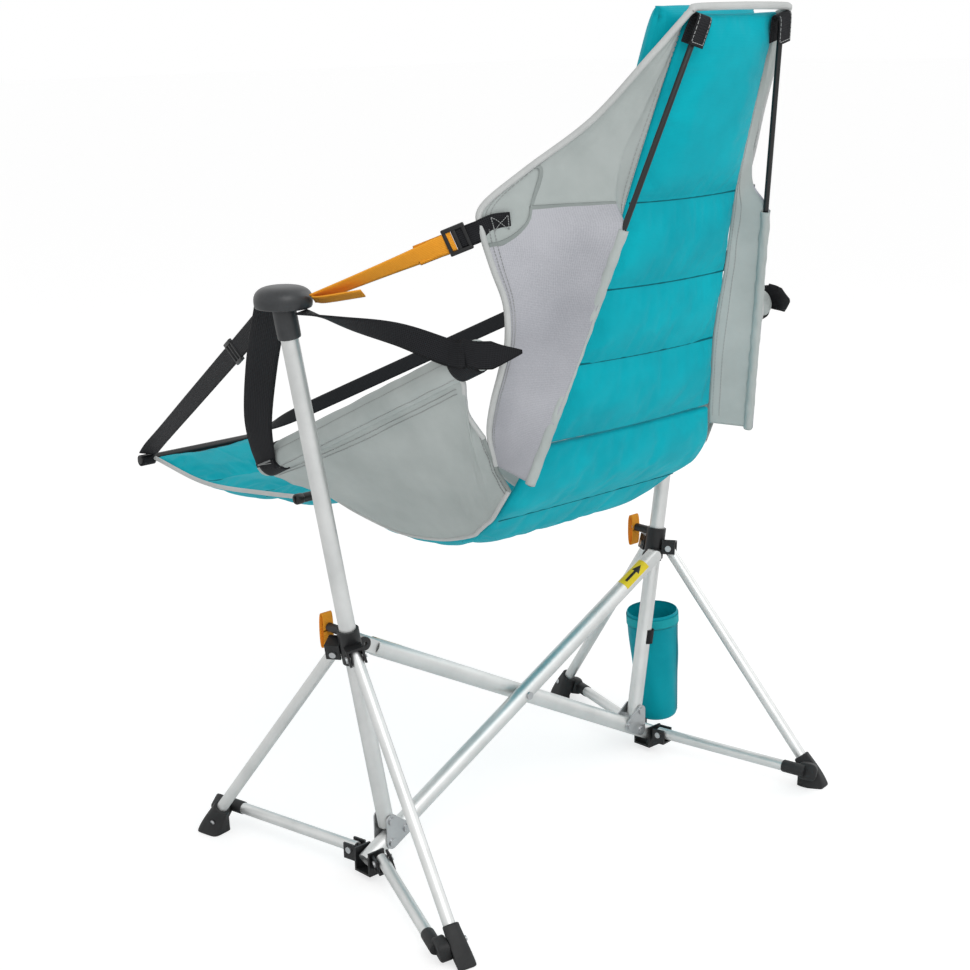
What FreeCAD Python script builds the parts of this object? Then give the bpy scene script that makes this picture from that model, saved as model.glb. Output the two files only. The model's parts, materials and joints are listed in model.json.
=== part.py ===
import FreeCAD
import Part
import math
import os

V = FreeCAD.Vector

# A hanging camp chair that rocks: two leaning posts stand on folding tripods, a scissor
# pair of braces joins them, and the seat hangs by webbing from the two post caps.
# Millimetres, +Z up, the seat faces -Y, the sitter's left hand is +X. The origin is on the
# floor in the middle. The frame looks the same after half a turn about Z, so its right
# side is the left side turned; the seat is a mirror image of itself about X = 0.

# ---- Frame sizes ----
POST_DIAMETER = 22.0
POST_WALL = 1.5
POST_PLANE = 12.5            # half the distance in Y between the planes of the two posts
POST_FOOT_X = 259.5          # the pivot at the lower end of the left post
POST_FOOT_Z = 74.0
POST_LEAN = 10.09            # degrees outward from upright
POST_TOP_Z = 790.0
POST_END = 9.0               # length of tube below the lower pivot
BRACE_DIAMETER = 24.0
BRACE_WALL = 1.5
BRACE_END_X = 290.0          # the hub pivot at the brace's lower end
BRACE_END_Z = 27.5
BRACE_PIN_X = 270.6          # the pivot at the brace's upper end, on the far side
BRACE_PIN_Z = 320.2
TONGUE_LENGTH = 26.0
TONGUE_THICKNESS = 17.0
LEG_DIAMETER = 16.0
LEG_WALL = 1.2
FOOT_X = 356.0               # the pin where a leg and a stretcher meet in a foot
FOOT_Y = 254.5
FOOT_SHIFT = 5.0             # the feet follow their post's plane a little
FOOT_PIN_Z = 22.4
FOOT_SOLE_RADIUS = 19.0
FOOT_NECK_RADIUS = 11.0
FOOT_NECK_LENGTH = 24.0
FOLD_ANGLE = 52.0            # degrees that a brace turns about its post when folded

# ---- Hubs, pins and caps ----
HUB_Z = 324.0
HUB_RADIUS = 14.5
HUB_BELOW = 16.0
HUB_ABOVE = 30.0
LEG_PIN_OUT = 10.0
LEG_PIN_SIDE = 21.2
STRETCHER_PIN_SIDE = 29.5
STRETCHER_PIN_Z = 33.5
CHEEK = 3.0
PIN_DIAMETER = 5.0
HEAD_DIAMETER = 9.0
HEAD_HEIGHT = 2.2
RIVET_DIAMETER = 6.0
RUNNING_FIT = 0.05           # radial clearance of a shaft in its bore
SIDE_GAP = 0.6               # clearance on each side of a tube in its clevis
EAR_THICKNESS = 3.4
EAR_OUT = 2.0                # how far the ear's face stands out from the sleeve
EAR_GAP = 0.5
GUSSET_THICKNESS = 2.0
GUSSET_REACH = 24.0          # half the length of the plate along the brace
LUG_RADIUS = 9.0
TAB_THICKNESS = 5.0
TAB_LENGTH = 36.0
REAR_LAP_GAP = 6.0           # a spacer fills this between a stretcher and its foot
FRONT_LAP_GAP = 16.0
SPACER_GAP = 0.6
FOOT_FLAT = 0.8              # rubber left on the foot's flat side, beside the leg
CAP_RADIUS = 35.5
CAP_HEIGHT = 36.0
CAP_Z = 775.0
CAP_EDGE = 17.0
COLLAR_RADIUS = 14.0
COLLAR_LENGTH = 39.0
LOCK_PIN_DIAMETER = 5.0
LOCK_BOSS_RADIUS = 6.0
LOCK_BOSS_LENGTH = 25.0
LOOP_WIDTH = 18.0
LOOP_HEIGHT = 48.0
LOOP_DEPTH = 11.0
LOOP_RISE = 20.0             # how far the loop stands above its pin
LOOP_THICKNESS = 2.0
BAG_TOP_RADIUS = 40.0
BAG_BASE_RADIUS = 33.0
BAG_WALL = 1.5
BAG_TOP_Z = 208.0
BAG_BASE_Z = 30.0
BAG_TILT = 12.0              # how far the base of the bag hangs outward of its top
BAG_OUT = 55.0
BAG_FRONT = 35.0

# ---- Seat sizes ----
ARM_FRONT = V(270, -207, 525)
ARM_REAR = V(259, 226, 728)
ARM_TUBE_DIAMETER = 16.0
ARM_SLEEVE_DIAMETER = 32.0
ARM_TUBE_BARE = 9.0          # bare tube at each end of the sleeve
ROD_DIAMETER = 8.0
ROD_TOP = V(72.5, 388.5, 1094)
ROD_BOTTOM = V(205, 243, 563)
PAD_THICKNESS = 22.0
CLOTH = 2.5                  # thickness of single fabric panels
SOFT_GAP = 0.4               # clearance of a soft piece from its neighbour
SEAM = 1.3                   # from the edge of the padding to the panel sewn on it
CROSS_BAR_DIAMETER = 14.0
CROSS_BAR_HALF = 205.0
CROSS_BAR_Y = -228.0
CROSS_BAR_Z = 460.0
REST_BAR_DIAMETER = 14.0
REST_BAR_HALF = 128.0
REST_BAR_Y = -757.0
REST_BAR_Z = 415.0
ARM_STRAP_WIDTH = 40.0
ARM_STRAP_THICKNESS = 2.4
CUFF_THICKNESS = 2.4
SLIM_STRAP_WIDTH = 25.0
SLIM_STRAP_THICKNESS = 1.6
STRAP_TOP_Z = CAP_Z + 4.0     # trimmed where the webbing meets the underside of a cap
REST_STRAP_ACROSS = V(-0.74, 0.5, 0.4)
BUCKLE = (34.0, 30.0, 6.0)   # width, length and thickness of a ladder-lock buckle
RECLINE_BUCKLE = 0.86        # place of the buckle along the recline strap
REST_BUCKLE = 0.25           # place of the buckle along the leg rest's strap
CUFF_SHARES = (0.07, 0.93)   # places of the webbing cuffs along the arm
POCKET = (24.0, 5.4, 34.0)
PILLOW = (168.0, 52.0, 112.0)
TIP = V(240, 204, 884)       # the outer tip of the side wing
RECLINE_END = V(239.5, 205, 868)
RECLINE_GAP = 3.9            # from the cap to the middle of the sloping strap's end

# Middle line of the padded back and seat, from the head end to the front of the seat,
# as (y, z, half width) of the middle of the padding.
BACK_LINE = [(373, 1100, 80), (301, 893, 99), (272, 790, 113), (242, 699, 130), (212, 600, 160)]
SEAT_LINE = [(211.5, 598.2, 160.5), (186, 540, 182), (142, 495, 172), (78, 456, 150), (0, 432, 132),
             (-90, 422, 125), (-168, 436, 135), (-220.8, 458, 150)]
REST_LINE = [(-235.2, 458, 118), (-300, 431, 113), (-440, 411, 108), (-600, 398, 105), (-749.6, 414.4, 102)]


# ---- Small geometry helpers ----
def unit(vector):
    return vector * (1.0 / vector.Length)


def turn_y(vector, angle):
    """Turn a vector about +Y by an angle in degrees."""
    c = math.cos(math.radians(angle))
    s = math.sin(math.radians(angle))
    return V(vector.x * c + vector.z * s, vector.y, vector.z * c - vector.x * s)


def cylinder(start, end, diameter):
    axis = end - start
    return Part.makeCylinder(diameter / 2, axis.Length, start, axis)


def tube(start, end, diameter, wall):
    return cylinder(start, end, diameter).cut(cylinder(start, end, diameter - 2 * wall))


def frame_at(origin, along_x, along_z):
    """A local frame: z exactly along along_z, x as near to along_x as it can be."""
    z = unit(along_z)
    y = unit(z.cross(along_x))
    return FreeCAD.Placement(origin, FreeCAD.Rotation(y.cross(z), y, z, "ZXY"))


def box(frame, low, high):
    solid = Part.makeBox(high[0] - low[0], high[1] - low[1], high[2] - low[2], V(*low))
    solid.Placement = frame
    return solid


def half_turn(shape):
    """The right side's copy of a left frame piece."""
    copy = shape.copy()
    copy.rotate(V(0, 0, 0), V(0, 0, 1), 180)
    return copy


def mirrored(shape):
    """The right side's copy of a left seat piece."""
    return shape.mirror(V(0, 0, 0), V(1, 0, 0))


def band(inner, outer, thickness):
    """A closed panel between two rows of points, thickness thick, with straight rungs."""
    sections = []
    for i in range(len(inner)):
        before = max(i - 1, 0)
        after = min(i + 1, len(inner) - 1)
        along = (inner[after] + outer[after]) - (inner[before] + outer[before])
        normal = unit((outer[i] - inner[i]).cross(along)) * (thickness / 2)
        corners = [inner[i] + normal, outer[i] + normal, outer[i] - normal, inner[i] - normal]
        sections.append(Part.makePolygon(corners + [corners[0]]))
    return Part.makeLoft(sections, True, True)


def strip(line, thickness):
    """A padded strip across X from a list of (y, z, half width)."""
    left = [V(half, y, z) for y, z, half in line]
    right = [V(-half, y, z) for y, z, half in line]
    return band(right, left, thickness)


def strap(points, widths, width, thickness):
    """A webbing band along points; widths are the directions of its width."""
    low = []
    high = []
    for i, point in enumerate(points):
        along = unit(points[min(i + 1, len(points) - 1)] - points[max(i - 1, 0)])
        square = widths[i] - along * widths[i].dot(along)
        half = unit(square) * (width / 2)
        low.append(point - half)
        high.append(point + half)
    return band(low, high, thickness)


def save(name, shapes):
    solids = [solid for shape in shapes for solid in shape.Solids]
    for solid in solids:
        if not solid.isValid() or solid.Volume <= 0:
            print("bad solid in", name)
    node = solids[0] if len(solids) == 1 else Part.makeCompound(solids)
    node.exportStep("parts/" + name + ".step")
    print(name, len(solids), round(sum(solid.Volume for solid in solids)))


def save_pair(left_name, right_name, shapes, other_side):
    save(left_name, shapes)
    save(right_name, [other_side(shape) for shape in shapes])


# ---- The frame's main points, on the left side ----
post_up = turn_y(V(0, 0, 1), POST_LEAN)
post_out = turn_y(V(1, 0, 0), POST_LEAN)
side = V(0, 1, 0)
post_foot = V(POST_FOOT_X, POST_PLANE, POST_FOOT_Z)
brace_end = V(BRACE_END_X, POST_PLANE, BRACE_END_Z)
brace_pin_far = V(-BRACE_PIN_X, POST_PLANE, BRACE_PIN_Z)
brace_pin = V(BRACE_PIN_X, -POST_PLANE, BRACE_PIN_Z)
brace_along = unit(brace_pin_far - brace_end)
crossing_share = BRACE_END_X / (BRACE_END_X + BRACE_PIN_X)
crossing_z = BRACE_END_Z + (BRACE_PIN_Z - BRACE_END_Z) * crossing_share
crossing = V(0, 0, crossing_z)


def on_post(height):
    return post_foot + post_up * ((height - POST_FOOT_Z) / post_up.z)


post_top = on_post(POST_TOP_Z)
cap_seat = on_post(CAP_Z)
hub_centre = on_post(HUB_Z)
foot_rear = V(FOOT_X, FOOT_SHIFT + FOOT_Y, FOOT_PIN_Z)
foot_front = V(FOOT_X, FOOT_SHIFT - FOOT_Y, FOOT_PIN_Z)

# ---- The fold: where the pivots are when the frame is closed, seen from the left post ----
lift = V(0, POST_PLANE, 0)
crossing_folded = post_foot + turn_y(crossing + lift - post_foot, FOLD_ANGLE)
pin_flat = V(brace_pin.x, POST_PLANE, brace_pin.z)
arm_length = (pin_flat - crossing - lift).Length
to_pin = pin_flat - crossing_folded
along_post = to_pin.dot(post_up)
hub_travel = -along_post + math.sqrt(max(along_post ** 2 - to_pin.Length ** 2 + arm_length ** 2, 0))
end_shift = turn_y(brace_end - post_foot, FOLD_ANGLE) - (brace_end - post_foot)


def folding_leg(foot, way, lap_way, lap_gap):
    """Pins, pin directions and folded directions of one leg and its stretcher."""
    leg_pin = hub_centre + post_out * LEG_PIN_OUT + side * (LEG_PIN_SIDE * way)
    stretcher_pin = V(BRACE_END_X, POST_PLANE + STRETCHER_PIN_SIDE * way, STRETCHER_PIN_Z)
    leg_length = (foot - leg_pin).Length
    stretcher_length = (foot - stretcher_pin).Length
    top = leg_pin + post_up * hub_travel
    low = stretcher_pin + end_shift
    span = low - top
    down = (span.Length ** 2 + leg_length ** 2 - stretcher_length ** 2) / (2 * span.Length)
    out = math.sqrt(max(leg_length ** 2 - down ** 2, 0))
    outward = side * way
    across = unit(outward - unit(span) * outward.dot(unit(span)))
    meeting = top + unit(span) * down + across * out
    leg_axis = unit((foot - leg_pin).cross(meeting - top)) * way
    lap_side = leg_axis * lap_way
    lap = lap_side * (LEG_DIAMETER + FOOT_FLAT + lap_gap)
    stretcher_axis = unit((foot + lap - stretcher_pin).cross(meeting + lap - low)) * -way
    return {
        "leg_pin": leg_pin, "stretcher_pin": stretcher_pin, "foot": foot, "lap": foot + lap,
        "leg_axis": leg_axis, "stretcher_axis": stretcher_axis,
        "lap_side": lap_side, "lap_gap": lap_gap,
        "leg_folded": unit(meeting - top), "stretcher_folded": unit(meeting + lap - low),
    }


rear = folding_leg(foot_rear, 1, -1, REAR_LAP_GAP)
front = folding_leg(foot_front, -1, 1, FRONT_LAP_GAP)


# ---- Frame pieces ----
def post():
    bottom = post_foot - post_up * POST_END
    shell = tube(bottom, post_top, POST_DIAMETER, POST_WALL)
    reach = side * POST_DIAMETER
    return shell.cut(cylinder(post_foot - reach, post_foot + reach, RIVET_DIAMETER + 2 * RUNNING_FIT))


def cap():
    base = V(cap_seat.x, POST_PLANE, CAP_Z)
    dome = Part.makeCylinder(CAP_RADIUS, CAP_HEIGHT, base)
    top_edges = [edge for edge in dome.Edges if edge.BoundBox.ZMin > CAP_Z + CAP_HEIGHT - 1]
    dome = dome.makeFillet(CAP_EDGE, top_edges)
    low_edges = [edge for edge in dome.Edges if edge.BoundBox.ZMax < CAP_Z + 1]
    dome = dome.makeFillet(CAP_EDGE / 5, low_edges)
    bore = cylinder(on_post(CAP_Z - CAP_HEIGHT), post_top, POST_DIAMETER + 2 * RUNNING_FIT)
    return dome.cut(bore)


def collar():
    low = cap_seat - post_up * COLLAR_LENGTH
    high = cap_seat + post_up * COLLAR_RADIUS
    ring = cylinder(low, high, 2 * COLLAR_RADIUS)
    ring = ring.cut(cylinder(low, high, POST_DIAMETER + 2 * RUNNING_FIT))
    above = V(cap_seat.x, POST_PLANE, CAP_Z)
    return ring.cut(Part.makeCylinder(2 * CAP_RADIUS, CAP_HEIGHT, above))


def brace():
    """The brace that starts at the left: tube, solid tongue at the far end, pin holes."""
    tongue_start = brace_pin_far - brace_along * TONGUE_LENGTH
    shell = tube(brace_end + brace_along * -6.0, tongue_start, BRACE_DIAMETER, BRACE_WALL)
    frame = frame_at(brace_pin_far, side, brace_along)
    near_face = HUB_RADIUS + EAR_OUT + EAR_GAP - 2 * POST_PLANE
    outer_face = near_face + TONGUE_THICKNESS
    half = BRACE_DIAMETER / 2 - 1.0
    tongue = box(frame, (near_face, -half, -TONGUE_LENGTH - 8.0), (outer_face, half, 0))
    start = brace_pin_far + side * near_face
    round_end = cylinder(start, start + side * TONGUE_THICKNESS, 2 * half)
    body = shell.fuse([tongue, round_end])
    inside = cylinder(tongue_start - brace_along * 20.0, brace_pin_far + brace_along * 20.0, 60.0)
    outside = inside.cut(cylinder(tongue_start - brace_along * 20.0,
                                  brace_pin_far + brace_along * 20.0, BRACE_DIAMETER))
    body = body.cut(outside)
    reach = side * BRACE_DIAMETER
    hole = RIVET_DIAMETER + 2 * RUNNING_FIT
    places = [brace_end, crossing + lift] + gusset_rivet_places()
    for place in places:
        body = body.cut(cylinder(place - reach, place + reach, hole))
    return body.removeSplitter()


def gusset_rivet_places():
    """Two rivets on the brace's axis, either side of the foot of the post's pivot."""
    foot_on_brace = brace_end + brace_along * (post_foot - brace_end).dot(brace_along)
    spread = GUSSET_REACH * 0.58
    return [foot_on_brace - brace_along * spread, foot_on_brace + brace_along * spread]


def gusset_plates():
    """Two triangular plates that join the brace to the lower end of the post."""
    first, second = gusset_rivet_places()
    plates = []
    for way in (-1, 1):
        inner = side * (way * (BRACE_DIAMETER / 2 + RUNNING_FIT))
        outer = side * (way * (BRACE_DIAMETER / 2 + RUNNING_FIT + GUSSET_THICKNESS))
        corners = [first, second, post_foot]
        discs = [cylinder(c + inner, c + outer, 2 * LUG_RADIUS) for c in corners]
        hull = [Part.makePolygon([c + inner for c in corners] + [corners[0] + inner])]
        web = Part.Face(hull[0]).extrude(outer - inner)
        bars = []
        for a, b in ((0, 1), (1, 2), (2, 0)):
            length = (corners[b] - corners[a]).Length
            frame = frame_at(corners[a] + inner, side * way, corners[b] - corners[a])
            bars.append(box(frame, (0, -LUG_RADIUS, 0), (GUSSET_THICKNESS, LUG_RADIUS, length)))
        plate = discs[0].fuse(discs[1:] + [web] + bars).removeSplitter()
        for corner in corners:
            plate = plate.cut(cylinder(corner + inner * 0.5, corner + outer * 2, RIVET_DIAMETER))
        plates.append(plate)
    return plates


def rivet(place, axis, half_length, diameter, head):
    """A shank through a joint with a low round head on each end."""
    a = unit(axis)
    shank = cylinder(place - a * half_length, place + a * half_length, diameter)
    heads = []
    for way in (-1, 1):
        start = place + a * (half_length * way)
        heads.append(cylinder(start, start + a * (HEAD_HEIGHT * way), head))
    return shank.fuse(heads)


def gusset_rivets():
    half = BRACE_DIAMETER / 2 + RUNNING_FIT + GUSSET_THICKNESS
    places = gusset_rivet_places() + [post_foot]
    return [rivet(place, side, half, RIVET_DIAMETER, HEAD_DIAMETER + 2) for place in places]


def clevis(centre, axis, tube_diameter, stem_angle_up):
    """Two cheeks and a bridge around the end of a tube that turns about axis."""
    reach = tube_diameter / 2 + SIDE_GAP
    wall = CHEEK
    up = V(0, 0, 1) if stem_angle_up else V(0, 0, -1)
    up = unit(up - axis * up.dot(axis))
    frame = frame_at(centre, up, axis)
    high = tube_diameter / 2 + 3.0
    low = -tube_diameter / 2
    span = tube_diameter / 2 + 2.0
    block = box(frame, (low, -span, -reach - wall), (high + wall, span, reach + wall))
    slot = box(frame, (low - 1, -span - 1, -reach), (high, span + 1, reach))
    hole = cylinder(centre - axis * 40.0, centre + axis * 40.0, PIN_DIAMETER)
    return block, slot, hole


def mid_hub(lock_way):
    """Sliding hub on the post: sleeve, two leg clevises, ear for the brace, lock boss."""
    low = hub_centre - post_up * HUB_BELOW
    high = hub_centre + post_up * HUB_ABOVE
    solid = cylinder(low, high, 2 * HUB_RADIUS)
    cuts = [cylinder(low - post_up, high + post_up, POST_DIAMETER + 2 * RUNNING_FIT)]
    blocks = []
    for leg in (rear, front):
        block, slot, hole = clevis(leg["leg_pin"], leg["leg_axis"], LEG_DIAMETER, True)
        blocks.append(block)
        cuts += [slot, hole]
    ear_face = POST_PLANE - HUB_RADIUS - EAR_OUT
    frame = frame_at(V(hub_centre.x, ear_face, hub_centre.z), post_out, post_up)
    reach = (hub_centre - brace_pin).dot(post_out)
    drop = (brace_pin - hub_centre).dot(post_up)
    ear_half = HEAD_DIAMETER
    ear = box(frame, (-reach, 0, drop - ear_half), (0, EAR_THICKNESS, drop + ear_half))
    ear_centre = V(brace_pin.x, ear_face, brace_pin.z)
    ear_round = cylinder(ear_centre, ear_centre + side * EAR_THICKNESS, 2 * ear_half)
    cuts.append(cylinder(ear_centre - side, ear_centre + side * 9.0, RIVET_DIAMETER + 2 * RUNNING_FIT))
    boss_base = hub_centre + post_up * (HUB_ABOVE - LOCK_BOSS_RADIUS - 1.0)
    boss_end = boss_base + side * (lock_way * (HUB_RADIUS + LOCK_BOSS_LENGTH))
    boss = cylinder(boss_base, boss_end, 2 * LOCK_BOSS_RADIUS)
    cuts.append(cylinder(boss_base, boss_end + side * lock_way,
                         LOCK_PIN_DIAMETER + 2 * RUNNING_FIT))
    solid = solid.fuse(blocks + [ear, ear_round, boss])
    for cut in cuts:
        solid = solid.cut(cut)
    return solid.removeSplitter()


def leg(data):
    start = data["leg_pin"]
    along = unit(data["foot"] - start)
    shell = tube(start - along * 5.0, data["foot"] + along * 6.0, LEG_DIAMETER, LEG_WALL)
    reach = data["leg_axis"] * LEG_DIAMETER
    return shell.cut(cylinder(start - reach, start + reach, PIN_DIAMETER + 2 * RUNNING_FIT))


def foot(data):
    """Rubber boot round the leg's lower end, cut flat where the stretcher lies on it."""
    along = unit(data["foot"] - data["leg_pin"])
    neck_top = data["foot"] - along * FOOT_NECK_LENGTH
    neck = cylinder(neck_top, data["foot"], 2 * FOOT_NECK_RADIUS)
    sole_centre = V(data["foot"].x, data["foot"].y, 0) + V(along.x, along.y, 0) * 8.0
    sole = Part.makeCylinder(FOOT_SOLE_RADIUS, 7.0, sole_centre)
    low = Part.Wire(Part.makeCircle(FOOT_SOLE_RADIUS - 1.0, sole_centre + V(0, 0, 6.0)))
    high = Part.Wire(Part.makeCircle(FOOT_NECK_RADIUS - 1.0, data["foot"] - along * 8.0, along * -1))
    body = Part.makeLoft([low, high], True, True)
    boot = neck.fuse([sole, body])
    flat = frame_at(data["foot"], along, data["lap_side"])
    half = LEG_DIAMETER / 2 + FOOT_FLAT
    boot = boot.cut(box(flat, (-60, -60, half), (60, 60, half + 60)))
    inner = cylinder(neck_top - along, data["foot"] + along * 6.0, LEG_DIAMETER)
    return boot.cut(inner).removeSplitter()


def stretcher(data):
    """Tube with a flat tab at the foot end, level with the tube's side by the foot."""
    start = data["stretcher_pin"]
    end = data["lap"]
    along = unit(end - start)
    shell = tube(start - along * 5.0, end - along * (TAB_LENGTH - 2.0), LEG_DIAMETER, LEG_WALL)
    inboard = data["lap_side"]
    frame = frame_at(end, along, inboard)
    half = LEG_DIAMETER / 2
    tab = box(frame, (-TAB_LENGTH - 10.0, -half, -half), (0, half, -half + TAB_THICKNESS))
    within = cylinder(end - along * (TAB_LENGTH + 10.0), end, LEG_DIAMETER)
    near = end - inboard * half
    far = near + inboard * TAB_THICKNESS
    round_end = cylinder(near, far, LEG_DIAMETER * 0.86)
    head = cylinder(far, far + inboard * HEAD_HEIGHT, HEAD_DIAMETER)
    spacer = cylinder(near - inboard * (data["lap_gap"] - SPACER_GAP), near, HEAD_DIAMETER)
    body = shell.fuse([tab.common(within), round_end, head, spacer])
    reach = data["stretcher_axis"] * LEG_DIAMETER
    hole = cylinder(start - reach, start + reach, PIN_DIAMETER + 2 * RUNNING_FIT)
    return body.cut(hole).removeSplitter()


def bottom_hub():
    """Hub on the brace's lower end: two cheeks, a floor and two stretcher clevises."""
    inner = BRACE_DIAMETER / 2 + RUNNING_FIT + SIDE_GAP
    outer = inner + CHEEK
    frame = frame_at(brace_end, V(1, 0, 0), V(0, 0, 1))
    floor_z = -BRACE_DIAMETER / 2 - 7.0
    cheeks = []
    for way in (-1, 1):
        a, b = sorted((inner * way, outer * way))
        cheeks.append(box(frame, (-14, a, floor_z), (12, b, 14)))
    floor = box(frame, (-14, -outer, floor_z), (12, outer, floor_z + CHEEK))
    blocks = []
    cuts = []
    for data in (rear, front):
        block, slot, hole = clevis(data["stretcher_pin"], data["stretcher_axis"],
                                   LEG_DIAMETER, False)
        blocks.append(block)
        cuts += [slot, hole]
    solid = cheeks[0].fuse([cheeks[1], floor] + blocks)
    gap = box(frame, (-60, -inner, floor_z + CHEEK), (60, inner, 60))
    reach = side * (outer + 2)
    cuts += [gap, cylinder(brace_end - reach, brace_end + reach, RIVET_DIAMETER)]
    for cut in cuts:
        solid = solid.cut(cut)
    return solid.removeSplitter()


def clevis_pins(key, axis_key):
    half = LEG_DIAMETER / 2 + SIDE_GAP + CHEEK
    return [rivet(data[key], data[axis_key], half, PIN_DIAMETER, HEAD_DIAMETER) for data in (rear, front)]


def hub_rivet():
    half = BRACE_DIAMETER / 2 + RUNNING_FIT + SIDE_GAP + CHEEK
    return cylinder(brace_end - side * half, brace_end + side * half, RIVET_DIAMETER)


def crossing_rivet():
    half = POST_PLANE + BRACE_DIAMETER / 2
    return rivet(crossing, side, half, RIVET_DIAMETER, HEAD_DIAMETER + 2)


def lock_pin(lock_way):
    """Pin through the boss, with a button head inside the pull loop."""
    base = hub_centre + post_up * (HUB_ABOVE - LOCK_BOSS_RADIUS - 1.0)
    boss_end = HUB_RADIUS + LOCK_BOSS_LENGTH
    head_start = boss_end + 1.4 + LOOP_THICKNESS
    start = base + side * (lock_way * (POST_DIAMETER / 2 + 0.3))
    end = base + side * (lock_way * head_start)
    pin = cylinder(start, end, LOCK_PIN_DIAMETER)
    return pin.fuse(cylinder(end, end + side * (lock_way * 3.0), LOCK_PIN_DIAMETER + 4.0))


def pull_loop(lock_way):
    """A closed loop of webbing held by the lock pin's head."""
    base = hub_centre + post_up * (HUB_ABOVE - LOCK_BOSS_RADIUS - 1.0)
    near = HUB_RADIUS + LOCK_BOSS_LENGTH + 1.0
    frame = frame_at(base, V(1, 0, 0), V(0, 0, 1))
    y_out = sorted((lock_way * near, lock_way * (near + LOOP_DEPTH)))
    t = LOOP_THICKNESS
    w = LOOP_WIDTH / 2
    outer = box(frame, (-w, y_out[0], LOOP_RISE - LOOP_HEIGHT), (w, y_out[1], LOOP_RISE))
    inner = box(frame, (-w - 1, y_out[0] + t, LOOP_RISE - LOOP_HEIGHT + t),
                (w + 1, y_out[1] - t, LOOP_RISE - t))
    reach = side * (lock_way * (near + LOOP_DEPTH / 2))
    return outer.cut(inner).cut(cylinder(base, base + reach, LOCK_PIN_DIAMETER + 2 * SOFT_GAP))


# ---- Bottle bag on the right post ----
def bag_centre():
    right_post = half_turn_point(on_post(BAG_TOP_Z))
    return V(right_post.x - BAG_OUT, right_post.y - BAG_FRONT, 0)


def half_turn_point(point):
    return V(-point.x, -point.y, point.z)


def bag_body(grown, base_lift):
    """The tapered outline of the bag, grown by a distance and started above its base."""
    base = bag_centre() + V(-BAG_TILT, 0, BAG_BASE_Z)
    top = bag_centre() + V(0, 0, BAG_TOP_Z)
    axis = unit(top - base)
    length = (top - base).Length - base_lift
    return Part.makeCone(BAG_BASE_RADIUS + grown, BAG_TOP_RADIUS + grown, length,
                         base + axis * base_lift, axis)


def bottle_bag():
    return bag_body(0, 0).cut(bag_body(-BAG_WALL, BAG_WALL))


def bag_strap():
    """A webbing band round the post that carries the bag by a short tab."""
    height = BAG_TOP_Z - 20.0
    middle = half_turn_point(on_post(height))
    up = V(-post_up.x, 0, post_up.z)
    low = middle - up * 10.0
    high = middle + up * 10.0
    ring = cylinder(low, high, POST_DIAMETER + 5.0)
    centre = bag_centre() + V(0, 0, height)
    toward = V(centre.x - middle.x, centre.y - middle.y, 0)
    frame = frame_at(middle, toward, V(0, 0, 1))
    tab = box(frame, (0, -1.2, -9.0), (toward.Length, 1.2, 9.0))
    keep_out = bag_body(SOFT_GAP, 0)
    bore = cylinder(low - up * 9, high + up * 9, POST_DIAMETER + 2 * RUNNING_FIT)
    return ring.fuse(tab).cut(bore).cut(keep_out)


# ---- Seat pieces, left side or across the middle ----
arm_along = unit(ARM_REAR - ARM_FRONT)
cuff_radius = ARM_SLEEVE_DIAMETER / 2 + SOFT_GAP + CUFF_THICKNESS
wing_inner = [V(half + SEAM, y, z) for y, z, half in BACK_LINE]
wing_outer = [V(92, 374, 1100), TIP, V(226, 230, 785), V(250, 258, 745), V(214, 216, 622)]


def on_arm(share):
    return ARM_FRONT + (ARM_REAR - ARM_FRONT) * share


def both_sides(make):
    """A seat piece that hangs from each cap; the caps stand in the posts' planes."""
    return [make(POST_PLANE), mirrored(make(-POST_PLANE))]


def arm_tube():
    return tube(ARM_FRONT, ARM_REAR, ARM_TUBE_DIAMETER, LEG_WALL)


def arm_sleeve():
    low = ARM_FRONT + arm_along * ARM_TUBE_BARE
    high = ARM_REAR - arm_along * ARM_TUBE_BARE
    cloth = cylinder(low, high, ARM_SLEEVE_DIAMETER)
    return cloth.cut(cylinder(low, high, ARM_TUBE_DIAMETER + 2 * RUNNING_FIT))


def back_rod():
    return cylinder(ROD_TOP, ROD_BOTTOM, ROD_DIAMETER)


def rod_pocket():
    rod = unit(ROD_TOP - ROD_BOTTOM)
    frame = frame_at(ROD_TOP, V(1, 0, 0), rod)
    w, t, h = POCKET
    outer = box(frame, (-w / 2, -t, -h + 8.0), (w / 2, t, 8.0))
    return outer.cut(cylinder(ROD_TOP - rod * (h + 5), ROD_TOP + rod * SOFT_GAP, ROD_DIAMETER + 2 * RUNNING_FIT))


def side_wing():
    return band(wing_inner, wing_outer, CLOTH)


def side_panel():
    """Fabric from the arm sleeve down to the edge of the seat padding."""
    shares = (0.03, 0.16, 0.34, 0.53, 0.7, 0.84, 0.97)
    depth = ARM_SLEEVE_DIAMETER / 2 + 2 * SOFT_GAP + CUFF_THICKNESS + CLOTH / 2
    below = unit(V(0, arm_along.z, -arm_along.y)) * depth
    top = [ARM_FRONT + (ARM_REAR - ARM_FRONT) * share + below for share in shares]
    low = [V(half + SEAM, y, z) for y, z, half in reversed(SEAT_LINE[1:])]
    return band(low, top, CLOTH)


def under_cap(shape):
    """Trim webbing just below the underside of the caps."""
    low = (0, -CAP_RADIUS * 3, CAP_Z - SOFT_GAP)
    high = (BRACE_END_X * 2, CAP_RADIUS * 3, CAP_Z + CAP_HEIGHT)
    return shape.cut(box(FreeCAD.Placement(), low, high))


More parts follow.
